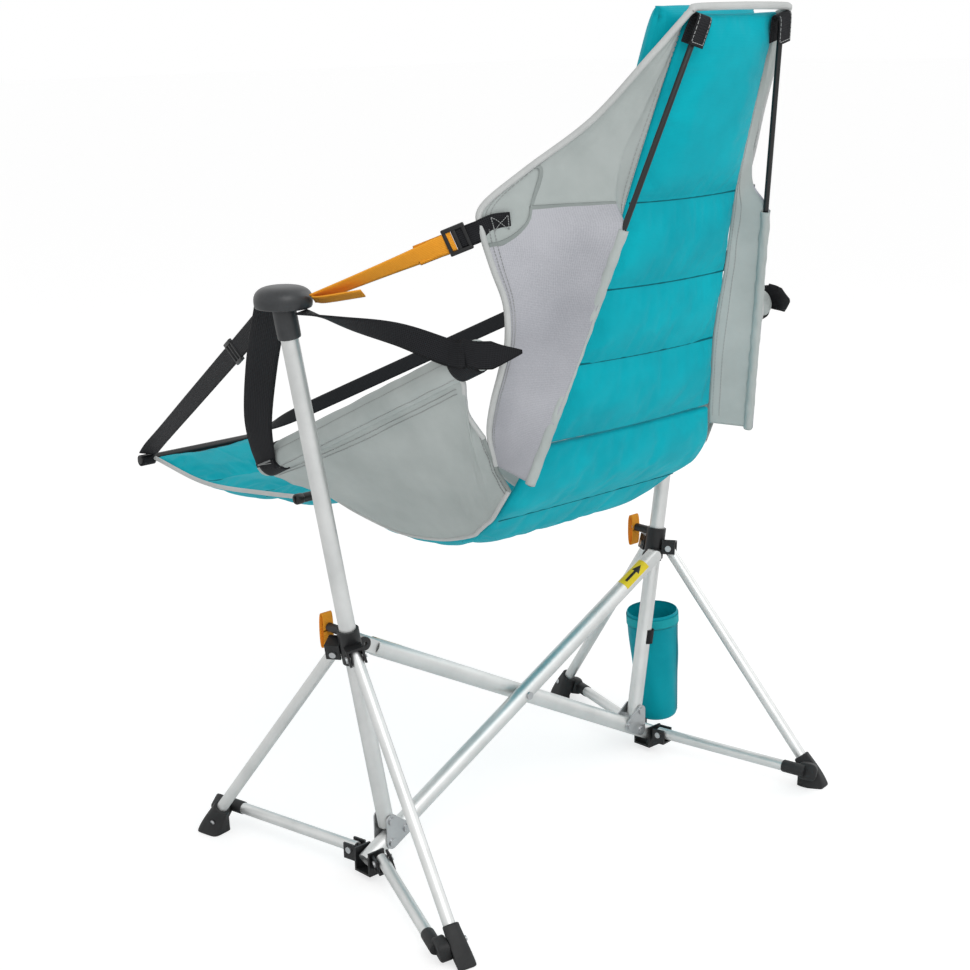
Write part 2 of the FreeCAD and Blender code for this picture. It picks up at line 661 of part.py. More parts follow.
def front_strap(cap_y):
    """Webbing from the cap to the front of the arm."""
    low_end = on_arm(CUFF_SHARES[0]) + V(cuff_radius + 2 * ARM_STRAP_THICKNESS, 0, 0)
    points = [V(cap_seat.x, cap_y - 26, STRAP_TOP_Z), V(343, -96, 690), V(312, -152, 606), low_end]
    across = [V(-0.74, 0.67, 0), V(-0.5, 0.8, 0.1), V(-0.25, 0.9, 0.25), arm_along]
    return under_cap(strap(points, across, ARM_STRAP_WIDTH, ARM_STRAP_THICKNESS))


def rear_strap(cap_y):
    """Webbing from the cap to the rear of the arm, turned a quarter on its way."""
    low_end = on_arm(CUFF_SHARES[1]) + V(cuff_radius + ARM_STRAP_THICKNESS, 0, 6)
    points = [V(cap_seat.x - 8, cap_y + 22, CAP_Z), V(352, 88, 756), V(318, 145, 736), low_end]
    across = [V(0.9, 0.42, 0), V(0.7, 0.3, 0.7), V(0.3, 0.2, 0.93), V(0, 0, 1)]
    return under_cap(strap(points, across, ARM_STRAP_WIDTH * 0.7, ARM_STRAP_THICKNESS))


def cuff(share):
    """The stitched webbing loop round the arm sleeve."""
    middle = on_arm(share)
    low = middle - arm_along * (ARM_STRAP_WIDTH / 2)
    high = middle + arm_along * (ARM_STRAP_WIDTH / 2)
    bore = ARM_SLEEVE_DIAMETER + 2 * SOFT_GAP
    return cylinder(low, high, 2 * cuff_radius).cut(cylinder(low, high, bore))


def recline_run(cap_y):
    """Ends of the straight run from the cap's side to the tip of the wing."""
    centre = V(cap_seat.x, cap_y, CAP_Z + 13.0)
    flat = unit(V(TIP.x - centre.x, TIP.y - centre.y, 0))
    return centre + flat * (CAP_RADIUS + RECLINE_GAP), RECLINE_END


def recline_strap(cap_y):
    start, end = recline_run(cap_y)
    points = [start, start + (end - start) * 0.35, start + (end - start) * RECLINE_BUCKLE]
    points[2] = points[2] - unit(end - start) * (BUCKLE[1] / 2 + SOFT_GAP)
    return strap(points, [V(0.1, 0.1, 1)] * 3, SLIM_STRAP_WIDTH, SLIM_STRAP_THICKNESS)


def recline_buckle(cap_y):
    start, end = recline_run(cap_y)
    return buckle(start + (end - start) * RECLINE_BUCKLE, end - start, V(0.1, 0.1, 1))


def wing_tab(cap_y):
    """Webbing that joins the buckle to the tip of the wing."""
    start, end = recline_run(cap_y)
    along = unit(end - start)
    low = start + (end - start) * RECLINE_BUCKLE + along * (BUCKLE[1] / 2 + SOFT_GAP)
    high = end - along * (CLOTH + SOFT_GAP)
    return strap([low, (low + high) * 0.5, high], [V(0.1, 0.1, 1)] * 3,
                 SLIM_STRAP_WIDTH, SLIM_STRAP_THICKNESS)


def rest_run(cap_y):
    """Ends of the straight run from the cap to the end of the leg rest's bar."""
    top = V(cap_seat.x - 32, cap_y - 14, STRAP_TOP_Z)
    return top, V(REST_BAR_HALF - 13, REST_BAR_Y, REST_BAR_Z + REST_BAR_DIAMETER / 2 + 2.0)


def rest_strap(cap_y):
    """Two lengths of webbing with a buckle between them, the lower one looped on the bar."""
    top, end = rest_run(cap_y)
    along = unit(end - top)
    middle = top + (end - top) * REST_BUCKLE
    half = along * (BUCKLE[1] / 2 + SOFT_GAP)
    across = [REST_STRAP_ACROSS] * 3
    upper = [top, (top + middle - half) * 0.5, middle - half]
    lower = [middle + half, (middle + half + end) * 0.5, end]
    width = SLIM_STRAP_WIDTH
    bands = [strap(row, across, width, SLIM_STRAP_THICKNESS) for row in (upper, lower)]
    reach = V(width / 2, 0, 0)
    bar_point = V(end.x, REST_BAR_Y, REST_BAR_Z)
    loop = cylinder(bar_point - reach, bar_point + reach, REST_BAR_DIAMETER + 4.4)
    bore = cylinder(bar_point - reach * 3, bar_point + reach * 3, REST_BAR_DIAMETER + 2 * SOFT_GAP)
    return [under_cap(bands[0]), bands[1].fuse(loop).cut(bore)]


def rest_buckle(cap_y):
    top, end = rest_run(cap_y)
    return buckle(top + (end - top) * REST_BUCKLE, end - top, REST_STRAP_ACROSS)


def buckle(middle, along, across):
    """A ladder-lock buckle: a frame with two slots."""
    w, l, t = BUCKLE
    square = across - unit(along) * across.dot(unit(along))
    frame = frame_at(middle, square, square.cross(along))
    plate = box(frame, (-w / 2, -l / 2, -t / 2), (w / 2, l / 2, t / 2))
    for shift in (-l / 4, l / 4):
        slot = (SLIM_STRAP_WIDTH + 1) / 2
        plate = plate.cut(box(frame, (-slot, shift - 3, -t), (slot, shift + 3, t)))
    return plate


def pillow():
    w, t, h = PILLOW
    block = Part.makeBox(w, t, h, V(-w / 2, 0, -h / 2))
    block = block.makeFillet(t * 0.3, block.Edges)
    back_top = V(0, BACK_LINE[0][0], BACK_LINE[0][1])
    back_next = V(0, BACK_LINE[1][0], BACK_LINE[1][1])
    along = unit(back_top - back_next)
    normal = along.cross(V(1, 0, 0))
    centre = back_top - along * (h / 2 - 4) - normal * (PAD_THICKNESS / 2 + SOFT_GAP + t)
    frame = frame_at(centre, V(1, 0, 0), along)
    block.Placement = frame
    return block


def bar_across(half, y, z, diameter):
    return cylinder(V(-half, y, z), V(half, y, z), diameter)


# ---- Write every piece ----
os.makedirs("parts", exist_ok=True)
save_pair("left_post", "right_post", [post()], half_turn)
save_pair("left_cap", "right_cap", [cap(), collar()], half_turn)
save_pair("brace_b", "brace_a", [brace()], half_turn)
save_pair("left_gusset_plates", "right_gusset_plates", gusset_plates(), half_turn)
save_pair("left_gusset_rivets", "right_gusset_rivets", gusset_rivets(), half_turn)
save("brace_crossing_rivet", [crossing_rivet()])
save("left_mid_hub", [mid_hub(-1)])
save("right_mid_hub", [half_turn(mid_hub(1))])
save_pair("left_bottom_hub", "right_bottom_hub", [bottom_hub()], half_turn)
save_pair("left_rear_leg", "right_front_leg", [leg(rear)], half_turn)
save_pair("left_front_leg", "right_rear_leg", [leg(front)], half_turn)
save_pair("left_rear_foot", "right_front_foot", [foot(rear)], half_turn)
save_pair("left_front_foot", "right_rear_foot", [foot(front)], half_turn)
save_pair("left_rear_stretcher", "right_front_stretcher", [stretcher(rear)], half_turn)
save_pair("left_front_stretcher", "right_rear_stretcher", [stretcher(front)], half_turn)
save_pair("left_leg_pins", "right_leg_pins", clevis_pins("leg_pin", "leg_axis"), half_turn)
save_pair("left_hub_pins", "right_hub_pins",
          clevis_pins("stretcher_pin", "stretcher_axis") + [hub_rivet()], half_turn)
save("left_lock_pin", [lock_pin(-1)])
save("right_lock_pin", [half_turn(lock_pin(1))])
save("left_pull_loop", [pull_loop(-1)])
save("right_pull_loop", [half_turn(pull_loop(1))])
save("bottle_bag", [bottle_bag()])
save("bottle_bag_strap", [bag_strap()])

save("back_panel", [strip(BACK_LINE, PAD_THICKNESS)])
save("seat_panel", [strip(SEAT_LINE, PAD_THICKNESS)])
save("leg_rest", [strip(REST_LINE, PAD_THICKNESS)])
save("headrest_pillow", [pillow()])
save_pair("left_wing", "right_wing", [side_wing()], mirrored)
save_pair("left_side_panel", "right_side_panel", [side_panel()], mirrored)
save("back_rods", [back_rod(), mirrored(back_rod())])
save("rod_pockets", [rod_pocket(), mirrored(rod_pocket())])
save_pair("left_arm_tube", "right_arm_tube", [arm_tube()], mirrored)
save_pair("left_arm_sleeve", "right_arm_sleeve", [arm_sleeve()], mirrored)
save("front_straps", both_sides(front_strap))
save("rear_straps", both_sides(rear_strap))
cuffs = [cuff(share) for share in CUFF_SHARES]
save("strap_cuffs", cuffs + [mirrored(piece) for piece in cuffs])
save("recline_straps", both_sides(recline_strap))
save("wing_tabs", both_sides(wing_tab))
save("leg_rest_straps", rest_strap(POST_PLANE) + [mirrored(s) for s in rest_strap(-POST_PLANE)])
save("strap_buckles", both_sides(recline_buckle) + both_sides(rest_buckle))
save("seat_cross_bar", [bar_across(CROSS_BAR_HALF, CROSS_BAR_Y, CROSS_BAR_Z, CROSS_BAR_DIAMETER)])
save("leg_rest_bar", [bar_across(REST_BAR_HALF, REST_BAR_Y, REST_BAR_Z, REST_BAR_DIAMETER)])
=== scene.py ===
import json
import math
import bmesh
import bpy
from mathutils import Matrix, Vector, noise
from mathutils.bvhtree import BVHTree
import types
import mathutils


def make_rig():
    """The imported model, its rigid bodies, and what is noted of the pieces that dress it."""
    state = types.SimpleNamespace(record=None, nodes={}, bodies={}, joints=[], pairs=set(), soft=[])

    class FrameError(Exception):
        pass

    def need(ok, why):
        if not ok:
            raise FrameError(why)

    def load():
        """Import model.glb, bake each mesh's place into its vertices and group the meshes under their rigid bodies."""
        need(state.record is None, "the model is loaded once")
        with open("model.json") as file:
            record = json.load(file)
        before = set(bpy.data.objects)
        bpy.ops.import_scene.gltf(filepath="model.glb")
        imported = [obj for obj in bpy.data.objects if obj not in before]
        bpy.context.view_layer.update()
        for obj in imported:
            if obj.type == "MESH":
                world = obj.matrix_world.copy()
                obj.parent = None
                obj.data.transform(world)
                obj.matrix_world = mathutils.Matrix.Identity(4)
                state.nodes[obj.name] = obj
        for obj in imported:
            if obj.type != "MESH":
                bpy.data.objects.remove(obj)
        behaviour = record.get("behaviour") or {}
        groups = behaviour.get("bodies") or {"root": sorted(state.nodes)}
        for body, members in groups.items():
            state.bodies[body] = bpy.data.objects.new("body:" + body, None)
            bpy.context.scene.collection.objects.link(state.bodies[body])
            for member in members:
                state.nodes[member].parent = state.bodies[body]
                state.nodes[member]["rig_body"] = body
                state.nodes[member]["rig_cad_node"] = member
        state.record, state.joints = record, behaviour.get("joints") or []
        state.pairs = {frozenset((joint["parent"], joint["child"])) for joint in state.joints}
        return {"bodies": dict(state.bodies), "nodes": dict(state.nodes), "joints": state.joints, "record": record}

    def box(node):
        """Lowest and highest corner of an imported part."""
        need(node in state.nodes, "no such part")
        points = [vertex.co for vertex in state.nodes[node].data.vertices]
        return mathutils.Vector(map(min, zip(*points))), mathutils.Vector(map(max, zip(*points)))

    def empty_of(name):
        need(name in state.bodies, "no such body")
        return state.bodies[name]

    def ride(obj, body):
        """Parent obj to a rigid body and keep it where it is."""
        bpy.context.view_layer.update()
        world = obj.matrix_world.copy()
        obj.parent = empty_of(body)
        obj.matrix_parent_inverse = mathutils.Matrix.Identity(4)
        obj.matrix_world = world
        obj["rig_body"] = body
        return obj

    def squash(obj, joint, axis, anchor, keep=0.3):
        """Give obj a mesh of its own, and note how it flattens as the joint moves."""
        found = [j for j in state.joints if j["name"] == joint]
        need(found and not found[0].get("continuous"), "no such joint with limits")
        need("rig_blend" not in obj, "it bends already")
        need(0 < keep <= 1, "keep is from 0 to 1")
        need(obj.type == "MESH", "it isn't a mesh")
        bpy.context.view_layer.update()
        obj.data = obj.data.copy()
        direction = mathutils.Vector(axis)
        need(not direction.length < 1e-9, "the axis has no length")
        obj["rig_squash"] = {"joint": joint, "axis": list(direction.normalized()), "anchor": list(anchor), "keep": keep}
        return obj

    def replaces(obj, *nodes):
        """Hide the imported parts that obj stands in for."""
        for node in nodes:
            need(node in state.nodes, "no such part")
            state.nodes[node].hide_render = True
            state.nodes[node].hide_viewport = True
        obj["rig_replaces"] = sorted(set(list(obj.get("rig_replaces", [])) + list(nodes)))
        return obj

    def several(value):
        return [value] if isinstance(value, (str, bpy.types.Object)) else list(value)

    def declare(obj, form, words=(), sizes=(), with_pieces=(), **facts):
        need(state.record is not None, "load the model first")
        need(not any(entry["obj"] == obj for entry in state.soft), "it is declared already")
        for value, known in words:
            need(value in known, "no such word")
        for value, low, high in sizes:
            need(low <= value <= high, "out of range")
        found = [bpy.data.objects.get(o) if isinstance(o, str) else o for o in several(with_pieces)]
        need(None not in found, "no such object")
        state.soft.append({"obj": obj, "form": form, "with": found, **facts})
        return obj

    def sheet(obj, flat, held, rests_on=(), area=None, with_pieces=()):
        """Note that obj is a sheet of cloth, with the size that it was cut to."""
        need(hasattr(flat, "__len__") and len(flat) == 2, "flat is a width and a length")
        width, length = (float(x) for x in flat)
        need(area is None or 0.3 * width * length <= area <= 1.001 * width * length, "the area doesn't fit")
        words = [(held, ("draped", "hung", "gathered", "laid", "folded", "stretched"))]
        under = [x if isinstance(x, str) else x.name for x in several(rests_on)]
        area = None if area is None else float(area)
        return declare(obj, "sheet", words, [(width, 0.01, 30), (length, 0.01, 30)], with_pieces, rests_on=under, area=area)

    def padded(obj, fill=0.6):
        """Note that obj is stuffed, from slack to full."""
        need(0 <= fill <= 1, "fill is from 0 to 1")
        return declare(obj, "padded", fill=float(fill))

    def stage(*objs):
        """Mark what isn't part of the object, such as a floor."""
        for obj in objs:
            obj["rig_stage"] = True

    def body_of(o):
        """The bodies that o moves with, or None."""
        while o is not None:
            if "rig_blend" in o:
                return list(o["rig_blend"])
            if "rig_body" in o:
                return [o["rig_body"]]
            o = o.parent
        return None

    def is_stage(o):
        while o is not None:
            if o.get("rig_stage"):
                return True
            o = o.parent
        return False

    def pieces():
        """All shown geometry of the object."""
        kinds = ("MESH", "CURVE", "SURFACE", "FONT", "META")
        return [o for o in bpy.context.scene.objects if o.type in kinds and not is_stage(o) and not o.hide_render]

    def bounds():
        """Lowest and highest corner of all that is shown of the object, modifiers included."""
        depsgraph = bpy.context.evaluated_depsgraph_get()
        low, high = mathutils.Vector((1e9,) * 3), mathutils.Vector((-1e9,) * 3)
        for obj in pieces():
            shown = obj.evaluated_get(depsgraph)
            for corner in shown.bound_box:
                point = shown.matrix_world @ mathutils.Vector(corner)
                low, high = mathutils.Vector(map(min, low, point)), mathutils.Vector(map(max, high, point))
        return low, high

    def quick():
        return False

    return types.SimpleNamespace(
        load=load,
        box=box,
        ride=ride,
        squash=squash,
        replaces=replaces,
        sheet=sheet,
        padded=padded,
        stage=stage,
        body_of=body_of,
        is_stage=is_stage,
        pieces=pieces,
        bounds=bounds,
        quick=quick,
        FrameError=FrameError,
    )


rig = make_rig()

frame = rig.load()
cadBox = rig.bounds()
scene = bpy.context.scene
record = frame["record"]
print("frame loaded")


# small helpers

def at(x, y, z):
    return Vector((x, y, z)) * 0.001  # the sizes below are in millimetres


def mirrored(p, flip):
    return Vector((p.x * flip, p.y, p.z))


def lineLength(points):
    return sum((b - a).length for a, b in zip(points, points[1:]))


def smoothAt(points, t):
    # a smooth line through the points, t from 0 to 1
    last = len(points) - 1
    run = min(max(t, 0.0), 1.0) * last
    i = min(int(run), last - 1)
    f = run - i
    b, c = points[i], points[i + 1]
    a = points[i - 1] if i > 0 else b * 2 - c
    d = points[i + 2] if i + 2 <= last else c * 2 - b
    return (b * 2 + (c - a) * f + (a * 2 - b * 5 + c * 4 - d) * f ** 2
            + (b * 3 - a - c * 3 + d) * f ** 3) * 0.5


def bump01(value):
    return max(0.0, math.sin(math.pi * min(max(value, 0.0), 1.0)))


def layGrid(bm, place, rows, cols):
    # a grid shaped by place(u, v), with a UV map in metres of cloth
    made = bmesh.ops.create_grid(bm, x_segments=cols, y_segments=rows, size=0.5)["verts"]
    spots = {v: (v.co.x + 0.5, v.co.y + 0.5) for v in made}
    middle = [place(0.5, i / 24) for i in range(25)]
    level = [place(i / 24, 0.5) for i in range(25)]
    length, width = lineLength(middle), lineLength(level)
    uvLayer = bm.loops.layers.uv.verify()
    for v, (a, b) in spots.items():
        v.co = place(a, b)
    for face in {f for v in made for f in v.link_faces}:
        for loop in face.loops:
            a, b = spots[loop.vert]
            loop[uvLayer].uv = (a * width, b * length)
    return spots


def addPiece(name, mesh, material, body, replaced=(), smooth=True):
    piece = bpy.data.objects.new(name, mesh)
    scene.collection.objects.link(piece)
    mesh.materials.append(material)
    for face in mesh.polygons:
        face.use_smooth = smooth
    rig.ride(piece, body)
    if replaced:
        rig.replaces(piece, *replaced)
    return piece


def finishPiece(name, bm, material, body, replaced=(), smooth=True):
    mesh = bpy.data.meshes.new(name)
    bm.to_mesh(mesh)
    bm.free()
    return addPiece(name, mesh, material, body, replaced, smooth)


def applyModifiers(piece):
    depsgraph = bpy.context.evaluated_depsgraph_get()
    made = bpy.data.meshes.new_from_object(piece.evaluated_get(depsgraph))
    piece.modifiers.clear()
    piece.data = made
    return piece


def refine(piece, levels=1):
    finer = piece.modifiers.new("finer", "SUBSURF")
    finer.levels = levels
    finer.render_levels = levels
    return applyModifiers(piece)


def thicken(piece, thickness, offset=0.0, levels=0):
    solid = piece.modifiers.new("cloth", "SOLIDIFY")
    solid.thickness = thickness * 0.001
    solid.offset = offset
    return refine(piece, levels) if levels else applyModifiers(piece)


def puff(piece, held, settings):
    # air pressure swells the cloth between the seams, which are held
    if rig.quick():
        return
    group = piece.vertex_groups.new(name="held")
    group.add(held, 1.0, "REPLACE")
    before = [v.co.copy() for v in piece.data.vertices]
    cloth = piece.modifiers.new("air", "CLOTH")
    cloth.settings.quality = 5
    cloth.settings.mass = 0.3
    cloth.settings.tension_stiffness = 12
    cloth.settings.compression_stiffness = 12
    cloth.settings.shear_stiffness = 4
    cloth.settings.bending_stiffness = settings["bending"]
    cloth.settings.shrink_min = -settings["slack"]
    cloth.settings.use_pressure = True
    cloth.settings.uniform_pressure_force = settings["pressure"]
    cloth.settings.vertex_group_mass = "held"
    cloth.settings.effector_weights.gravity = 0.0
    for step in range(1, 21):
        scene.frame_set(step)
    depsgraph = bpy.context.evaluated_depsgraph_get()
    swollen = piece.evaluated_get(depsgraph).data
    after = [v.co.copy() for v in swollen.vertices]
    piece.modifiers.clear()
    piece.vertex_groups.clear()
    most = settings["most"] * 0.001
    for v, a, b in zip(piece.data.vertices, before, after):
        move = b - a
        if move.length > most:
            move = move * (most / move.length)
        v.co = a + move
    scene.frame_set(1)


def paddedPanel(name, line, settings, replaced):
    # a quilted pad along a line of (y, z, half width); its second side is the back or underside
    points = [Vector((half, y, z)) * 0.001 for y, z, half in line]
    fat = settings["thickness"] * 0.0005
    thin = settings["rim"] * 0.0005
    length = lineLength(points)

    def surface(u, v, way):
        p = smoothAt(points, v)
        step = smoothAt(points, min(v + 0.01, 1.0)) - smoothAt(points, max(v - 0.01, 0.0))
        along = Vector((0, step.y, step.z)).normalized()
        out = Vector((0, -along.z, along.y))
        edge = min(u, 1 - u) * 2 * p.x / 0.03
        end = min(v, 1 - v) * length / 0.03
        full = min(1.0, edge) ** 0.5 * min(1.0, end) ** 0.5
        for seam in settings["seams"]:
            away = (v - seam) * length / 0.017
            full *= 1 - 0.99 * math.exp(-abs(away) ** 1.3)
            gather = noise.noise(Vector((u * 26, seam * 40, way * 3.0))) * math.exp(-abs(away) * 0.55)
            full += 0.13 * gather * min(1.0, abs(away) * 2)
        sag = -settings["sag"] * 0.001 * bump01(u)
        return Vector((p.x * (2 * u - 1), p.y, p.z)) + out * (way * (thin + (fat - thin) * full) - sag)

    rows, cols = settings["rows"], settings["cols"]
    bm = bmesh.new()
    sides = [layGrid(bm, lambda u, v, w=way: surface(u, v, w), rows, cols) for way in (-1, 1)]
    openEdges = [edge for edge in bm.edges if edge.is_boundary]
    rim = {v for edge in openEdges for v in edge.verts}
    bmesh.ops.bridge_loops(bm, edges=openEdges)
    bmesh.ops.recalc_face_normals(bm, faces=bm.faces)
    bm.verts.index_update()
    seamStep = 0.6 / rows
    held = [v.index for v in rim]
    for spots in sides:
        held += [v.index for v, (a, b) in spots.items()
                 if any(abs(b - seam) < seamStep for seam in settings["seams"])]
    piece = finishPiece(name, bm, tealCloth, "seat", replaced)
    puff(piece, sorted(set(held)), settings)
    refine(piece)
    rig.padded(piece, fill=settings["fill"])
    # each quilted seam gets a dark teal cord: the stitching, darkened as painted shade for the shade that falls in the
    # seam channel
    for number, seam in enumerate(settings["seams"]):
        for way, label in ((-1, "Front"), (1, "Back")):
            sunk = [surface(0.015 + 0.97 * i / 60, seam, way) for i in range(61)]
            runCord(name + "Seam" + label + str(number), sunk, 1.3, seamThreadAndShade, steps=120)


def runCord(name, points, radius, material, steps):
    # a round tube along a smooth line: piping, binding and sewn seams; the quilting seams' dark cords are painted shade
    # in the seam channels
    curve = bpy.data.curves.new(name, "CURVE")
    curve.dimensions = "3D"
    curve.bevel_depth = radius * 0.001
    curve.bevel_resolution = 3
    curve.use_fill_caps = True
    spline = curve.splines.new("POLY")
    spline.points.add(steps)
    for i, spot in enumerate(spline.points):
        spot.co = smoothAt(points, i / steps).to_4d()
    made = bpy.data.objects.new(name + "Line", curve)
    scene.collection.objects.link(made)
    mesh = bpy.data.meshes.new_from_object(made.evaluated_get(bpy.context.evaluated_depsgraph_get()))
    bpy.data.objects.remove(made)
    mesh.materials.clear()
    addPiece(name, mesh, material, "seat")


def layWebbing(bm, points, widths, width, thickness, rows, pointed=0.0):
    # a flat band of webbing along a smooth line; its end comes to a point over the pointed share
    def middle(v):
        return smoothAt(points, v)

    def place(u, v):
        along = middle(min(v + 0.01, 1.0)) - middle(max(v - 0.01, 0.0))
        along.normalize()
        across = smoothAt(widths, v)
        across = (across - along * across.dot(along)).normalized()
        taper = min(1.0, (1.04 - v) / pointed) if pointed else 1.0
        return middle(v) + across * ((u - 0.5) * width * 0.001 * taper)

    first = len(bm.faces)
    layGrid(bm, place, rows, 6)
    bm.faces.ensure_lookup_table()
    fresh = bm.faces[first:]
    bmesh.ops.solidify(bm, geom=fresh, thickness=thickness * 0.001)
    return place


def stitchRow(bm, points, pitch, size):
    # small raised stitches laid end to end along a line
    length = lineLength(points)
    count = max(2, int(length / (pitch * 0.001)))
    for i in range(count):
        a = smoothAt(points, i / count)
        b = smoothAt(points, (i + 0.7) / count)
        along = b - a
        if along.length < 1e-6:
            continue
        turn = along.to_track_quat("X", "Z").to_matrix().to_4x4()
        place = Matrix.Translation((a + b) / 2) @ turn
        scale = Matrix.Diagonal((along.length, size * 0.001, size * 0.001, 1))
        bmesh.ops.create_cube(bm, size=1.0, matrix=place @ scale)


def stitchAcross(bm, face, start, end, count, lift, pitch=5.0, size=0.8):
    # stitches on a cloth between two of its (u, v) places, lifted off its middle
    line = []
    for i in range(count + 1):
        u, v = (a + (b - a) * i / count for a, b in zip(start, end))
        line.append(face(u, v) + lift)
    stitchRow(bm, line, pitch, size)


def spinProfile(bm, profile):
    # a turned form round the upright axis, from (radius, height) in metres
    chain = [bm.verts.new((r, 0, z)) for r, z in profile]
    for a, b in zip(chain, chain[1:]):
        bm.edges.new((a, b))
    bmesh.ops.spin(bm, geom=bm.verts[:] + bm.edges[:], angle=2 * math.pi, steps=64,
                   axis=(0, 0, 1), cent=(0, 0, 0), use_merge=True)
    bmesh.ops.remove_doubles(bm, verts=bm.verts, dist=0.00005)


def roundBar(bm, start, end, radius, segments=24, bevel=0.001):
    along = end - start
    turn = along.to_track_quat("Z", "Y").to_matrix().to_4x4()
    place = Matrix.Translation((start + end) / 2) @ turn
    made = bmesh.ops.create_cone(bm, cap_ends=True, segments=segments, radius1=radius,
                                 radius2=radius, depth=along.length, matrix=place)["verts"]
    ends = {e for v in made for e in v.link_edges
            if len(e.link_faces) == 2 and abs(e.calc_face_angle(0)) > 1.2}
    bmesh.ops.bevel(bm, geom=list(ends), offset=bevel, segments=2, affect="EDGES",
                    profile=0.5, material=-1)


# materials

def linear(code):
    # an sRGB hex colour as linear values
    parts = [int(code[i:i + 2], 16) / 255 for i in (1, 3, 5)]
    return [c / 12.92 if c <= 0.04045 else ((c + 0.055) / 1.055) ** 2.4 for c in parts] + [1.0]


def addNode(material, kind, values=None, links=None, **settings):
    tree = material.node_tree
    node = tree.nodes.new(kind)
    for key, value in settings.items():
        setattr(node, key, value)
    for key, value in (values or {}).items():
        node.inputs[key].default_value = value
    for key, source in (links or {}).items():
        tree.links.new(source, node.inputs[key])
    return node


def startMaterial(name, values):
    material = bpy.data.materials.new(name)
    material.use_nodes = True
    shader = material.node_tree.nodes["Principled BSDF"]
    for key, value in values.items():
        shader.inputs[key].default_value = value
    return material, shader


def combine(material, operation, *values):
    node = addNode(material, "ShaderNodeMath", operation=operation)
    for place, value in zip(node.inputs, values):
        if isinstance(value, float):
            place.default_value = value
        else:
            material.node_tree.links.new(value, place)
    return node.outputs[0]


def cloudy(material, coords, scale, detail, roughness=0.5):
    return addNode(material, "ShaderNodeTexNoise",
                   {"Scale": scale, "Detail": detail, "Roughness": roughness},
                   {"Vector": coords.outputs["Object"]}).outputs["Fac"]


def threads(material, coords, spacing, way, wobble, fine):
    # a Wave texture repeats every 0.314 / scale
    return addNode(material, "ShaderNodeTexWave",
                   {"Scale": 0.314159 / (spacing * 0.001), "Distortion": wobble, "Detail": 1.0,
                    "Detail Scale": fine},
                   {"Vector": coords.outputs["UV"]}, bands_direction=way).outputs["Fac"]


def shadeRamp(material, tone, dark, light, low=0.0, high=1.0):
    ramp = addNode(material, "ShaderNodeValToRGB", None, {"Fac": tone})
    first, last = ramp.color_ramp.elements
    first.position, first.color = low, linear(dark)
    last.position, last.color = high, linear(light)
    return ramp.outputs["Color"]


def joinUp(material, shader, colour, height, strength, distance):
    links = material.node_tree.links
    bump = addNode(material, "ShaderNodeBump", {"Strength": strength, "Distance": distance * 0.001},
                   {"Height": height})
    links.new(bump.outputs["Normal"], shader.inputs["Normal"])
    links.new(colour, shader.inputs["Base Color"])
    return material


def wovenPolyester(name, light, dark, spacing, roughness, sheen):
    # oxford cloth: fine crossed threads, soft sheen, slow changes of shade
    material, shader = startMaterial(name, {"Roughness": roughness, "Sheen Weight": sheen,
                                            "Sheen Roughness": 0.5, "Specular IOR Level": 0.1})
    coords = addNode(material, "ShaderNodeTexCoord")
    warp, weft = (threads(material, coords, spacing, way, 0.6, 2.0) for way in "XY")
    weave = combine(material, "MULTIPLY", warp, weft)
    tone = combine(material, "MULTIPLY_ADD", weave, 0.16, cloudy(material, coords, 9.0, 4.0, 0.6))
    height = combine(material, "MULTIPLY_ADD", cloudy(material, coords, 26.0, 3.0), 3.0, weave)
    colour = shadeRamp(material, tone, dark, light, 0.3, 0.85)
    return joinUp(material, shader, colour, height, 0.28, 0.6)


def knittedMesh(name, light, dark, spacing):
    # warp-knitted mesh: rows of small round holes
    material, shader = startMaterial(name, {"Roughness": 0.75, "Sheen Weight": 0.05,
                                            "Specular IOR Level": 0.12})
    coords = addNode(material, "ShaderNodeTexCoord")
    holes = addNode(material, "ShaderNodeTexVoronoi", {"Scale": 1000 / spacing, "Randomness": 0.25},
                    {"Vector": coords.outputs["UV"]}).outputs["Distance"]
    tone = combine(material, "MULTIPLY_ADD", holes, 0.6, cloudy(material, coords, 7.0, 3.0))
    colour = shadeRamp(material, tone, dark, light, 0.35, 0.95)
    return joinUp(material, shader, colour, holes, 0.5, 0.5)


def nylonWebbing(name, light, dark, rib):
    # flat webbing: ribs across its length and finer yarns along it
    material, shader = startMaterial(name, {"Roughness": 0.62, "Sheen Weight": 0.02,
                                            "Specular IOR Level": 0.12})
    coords = addNode(material, "ShaderNodeTexCoord")
    ribs = threads(material, coords, rib, "Y", 0.4, 1.0)
    yarns = threads(material, coords, rib * 1.3, "X", 0.4, 1.0)
    weave = combine(material, "ADD", ribs, yarns)
    return joinUp(material, shader, shadeRamp(material, weave, dark, light, 0.2, 0.95), weave, 0.55, 0.5)


def anodisedAluminium(name, light, dark):
    # satin anodised tube: grain too fine to see, a soft wide highlight, faint handling marks
    material, shader = startMaterial(name, {"Metallic": 1.0, "Roughness": 0.36})
    coords = addNode(material, "ShaderNodeTexCoord")
    marks = cloudy(material, coords, 14.0, 5.0, 0.65)
    rough = addNode(material, "ShaderNodeMapRange", {"To Min": 0.4, "To Max": 0.55}, {"Value": marks})
    material.node_tree.links.new(rough.outputs["Result"], shader.inputs["Roughness"])
    colour = shadeRamp(material, marks, dark, light, 0.3, 0.75)
    return joinUp(material, shader, colour, cloudy(material, coords, 900.0, 2.0), 0.06, 0.1)


def mouldedPolymer(name, light, dark, grainMm, roughness, depth):
    # moulded nylon or rubber: spark-eroded grain, paler where it is scuffed
    material, shader = startMaterial(name, {"Roughness": roughness, "Specular IOR Level": 0.45})
    coords = addNode(material, "ShaderNodeTexCoord")
    colour = shadeRamp(material, cloudy(material, coords, 30.0, 6.0, 0.7), dark, light, 0.35, 0.8)
    return joinUp(material, shader, colour, cloudy(material, coords, 1000 / grainMm, 2.0), 0.25, depth)


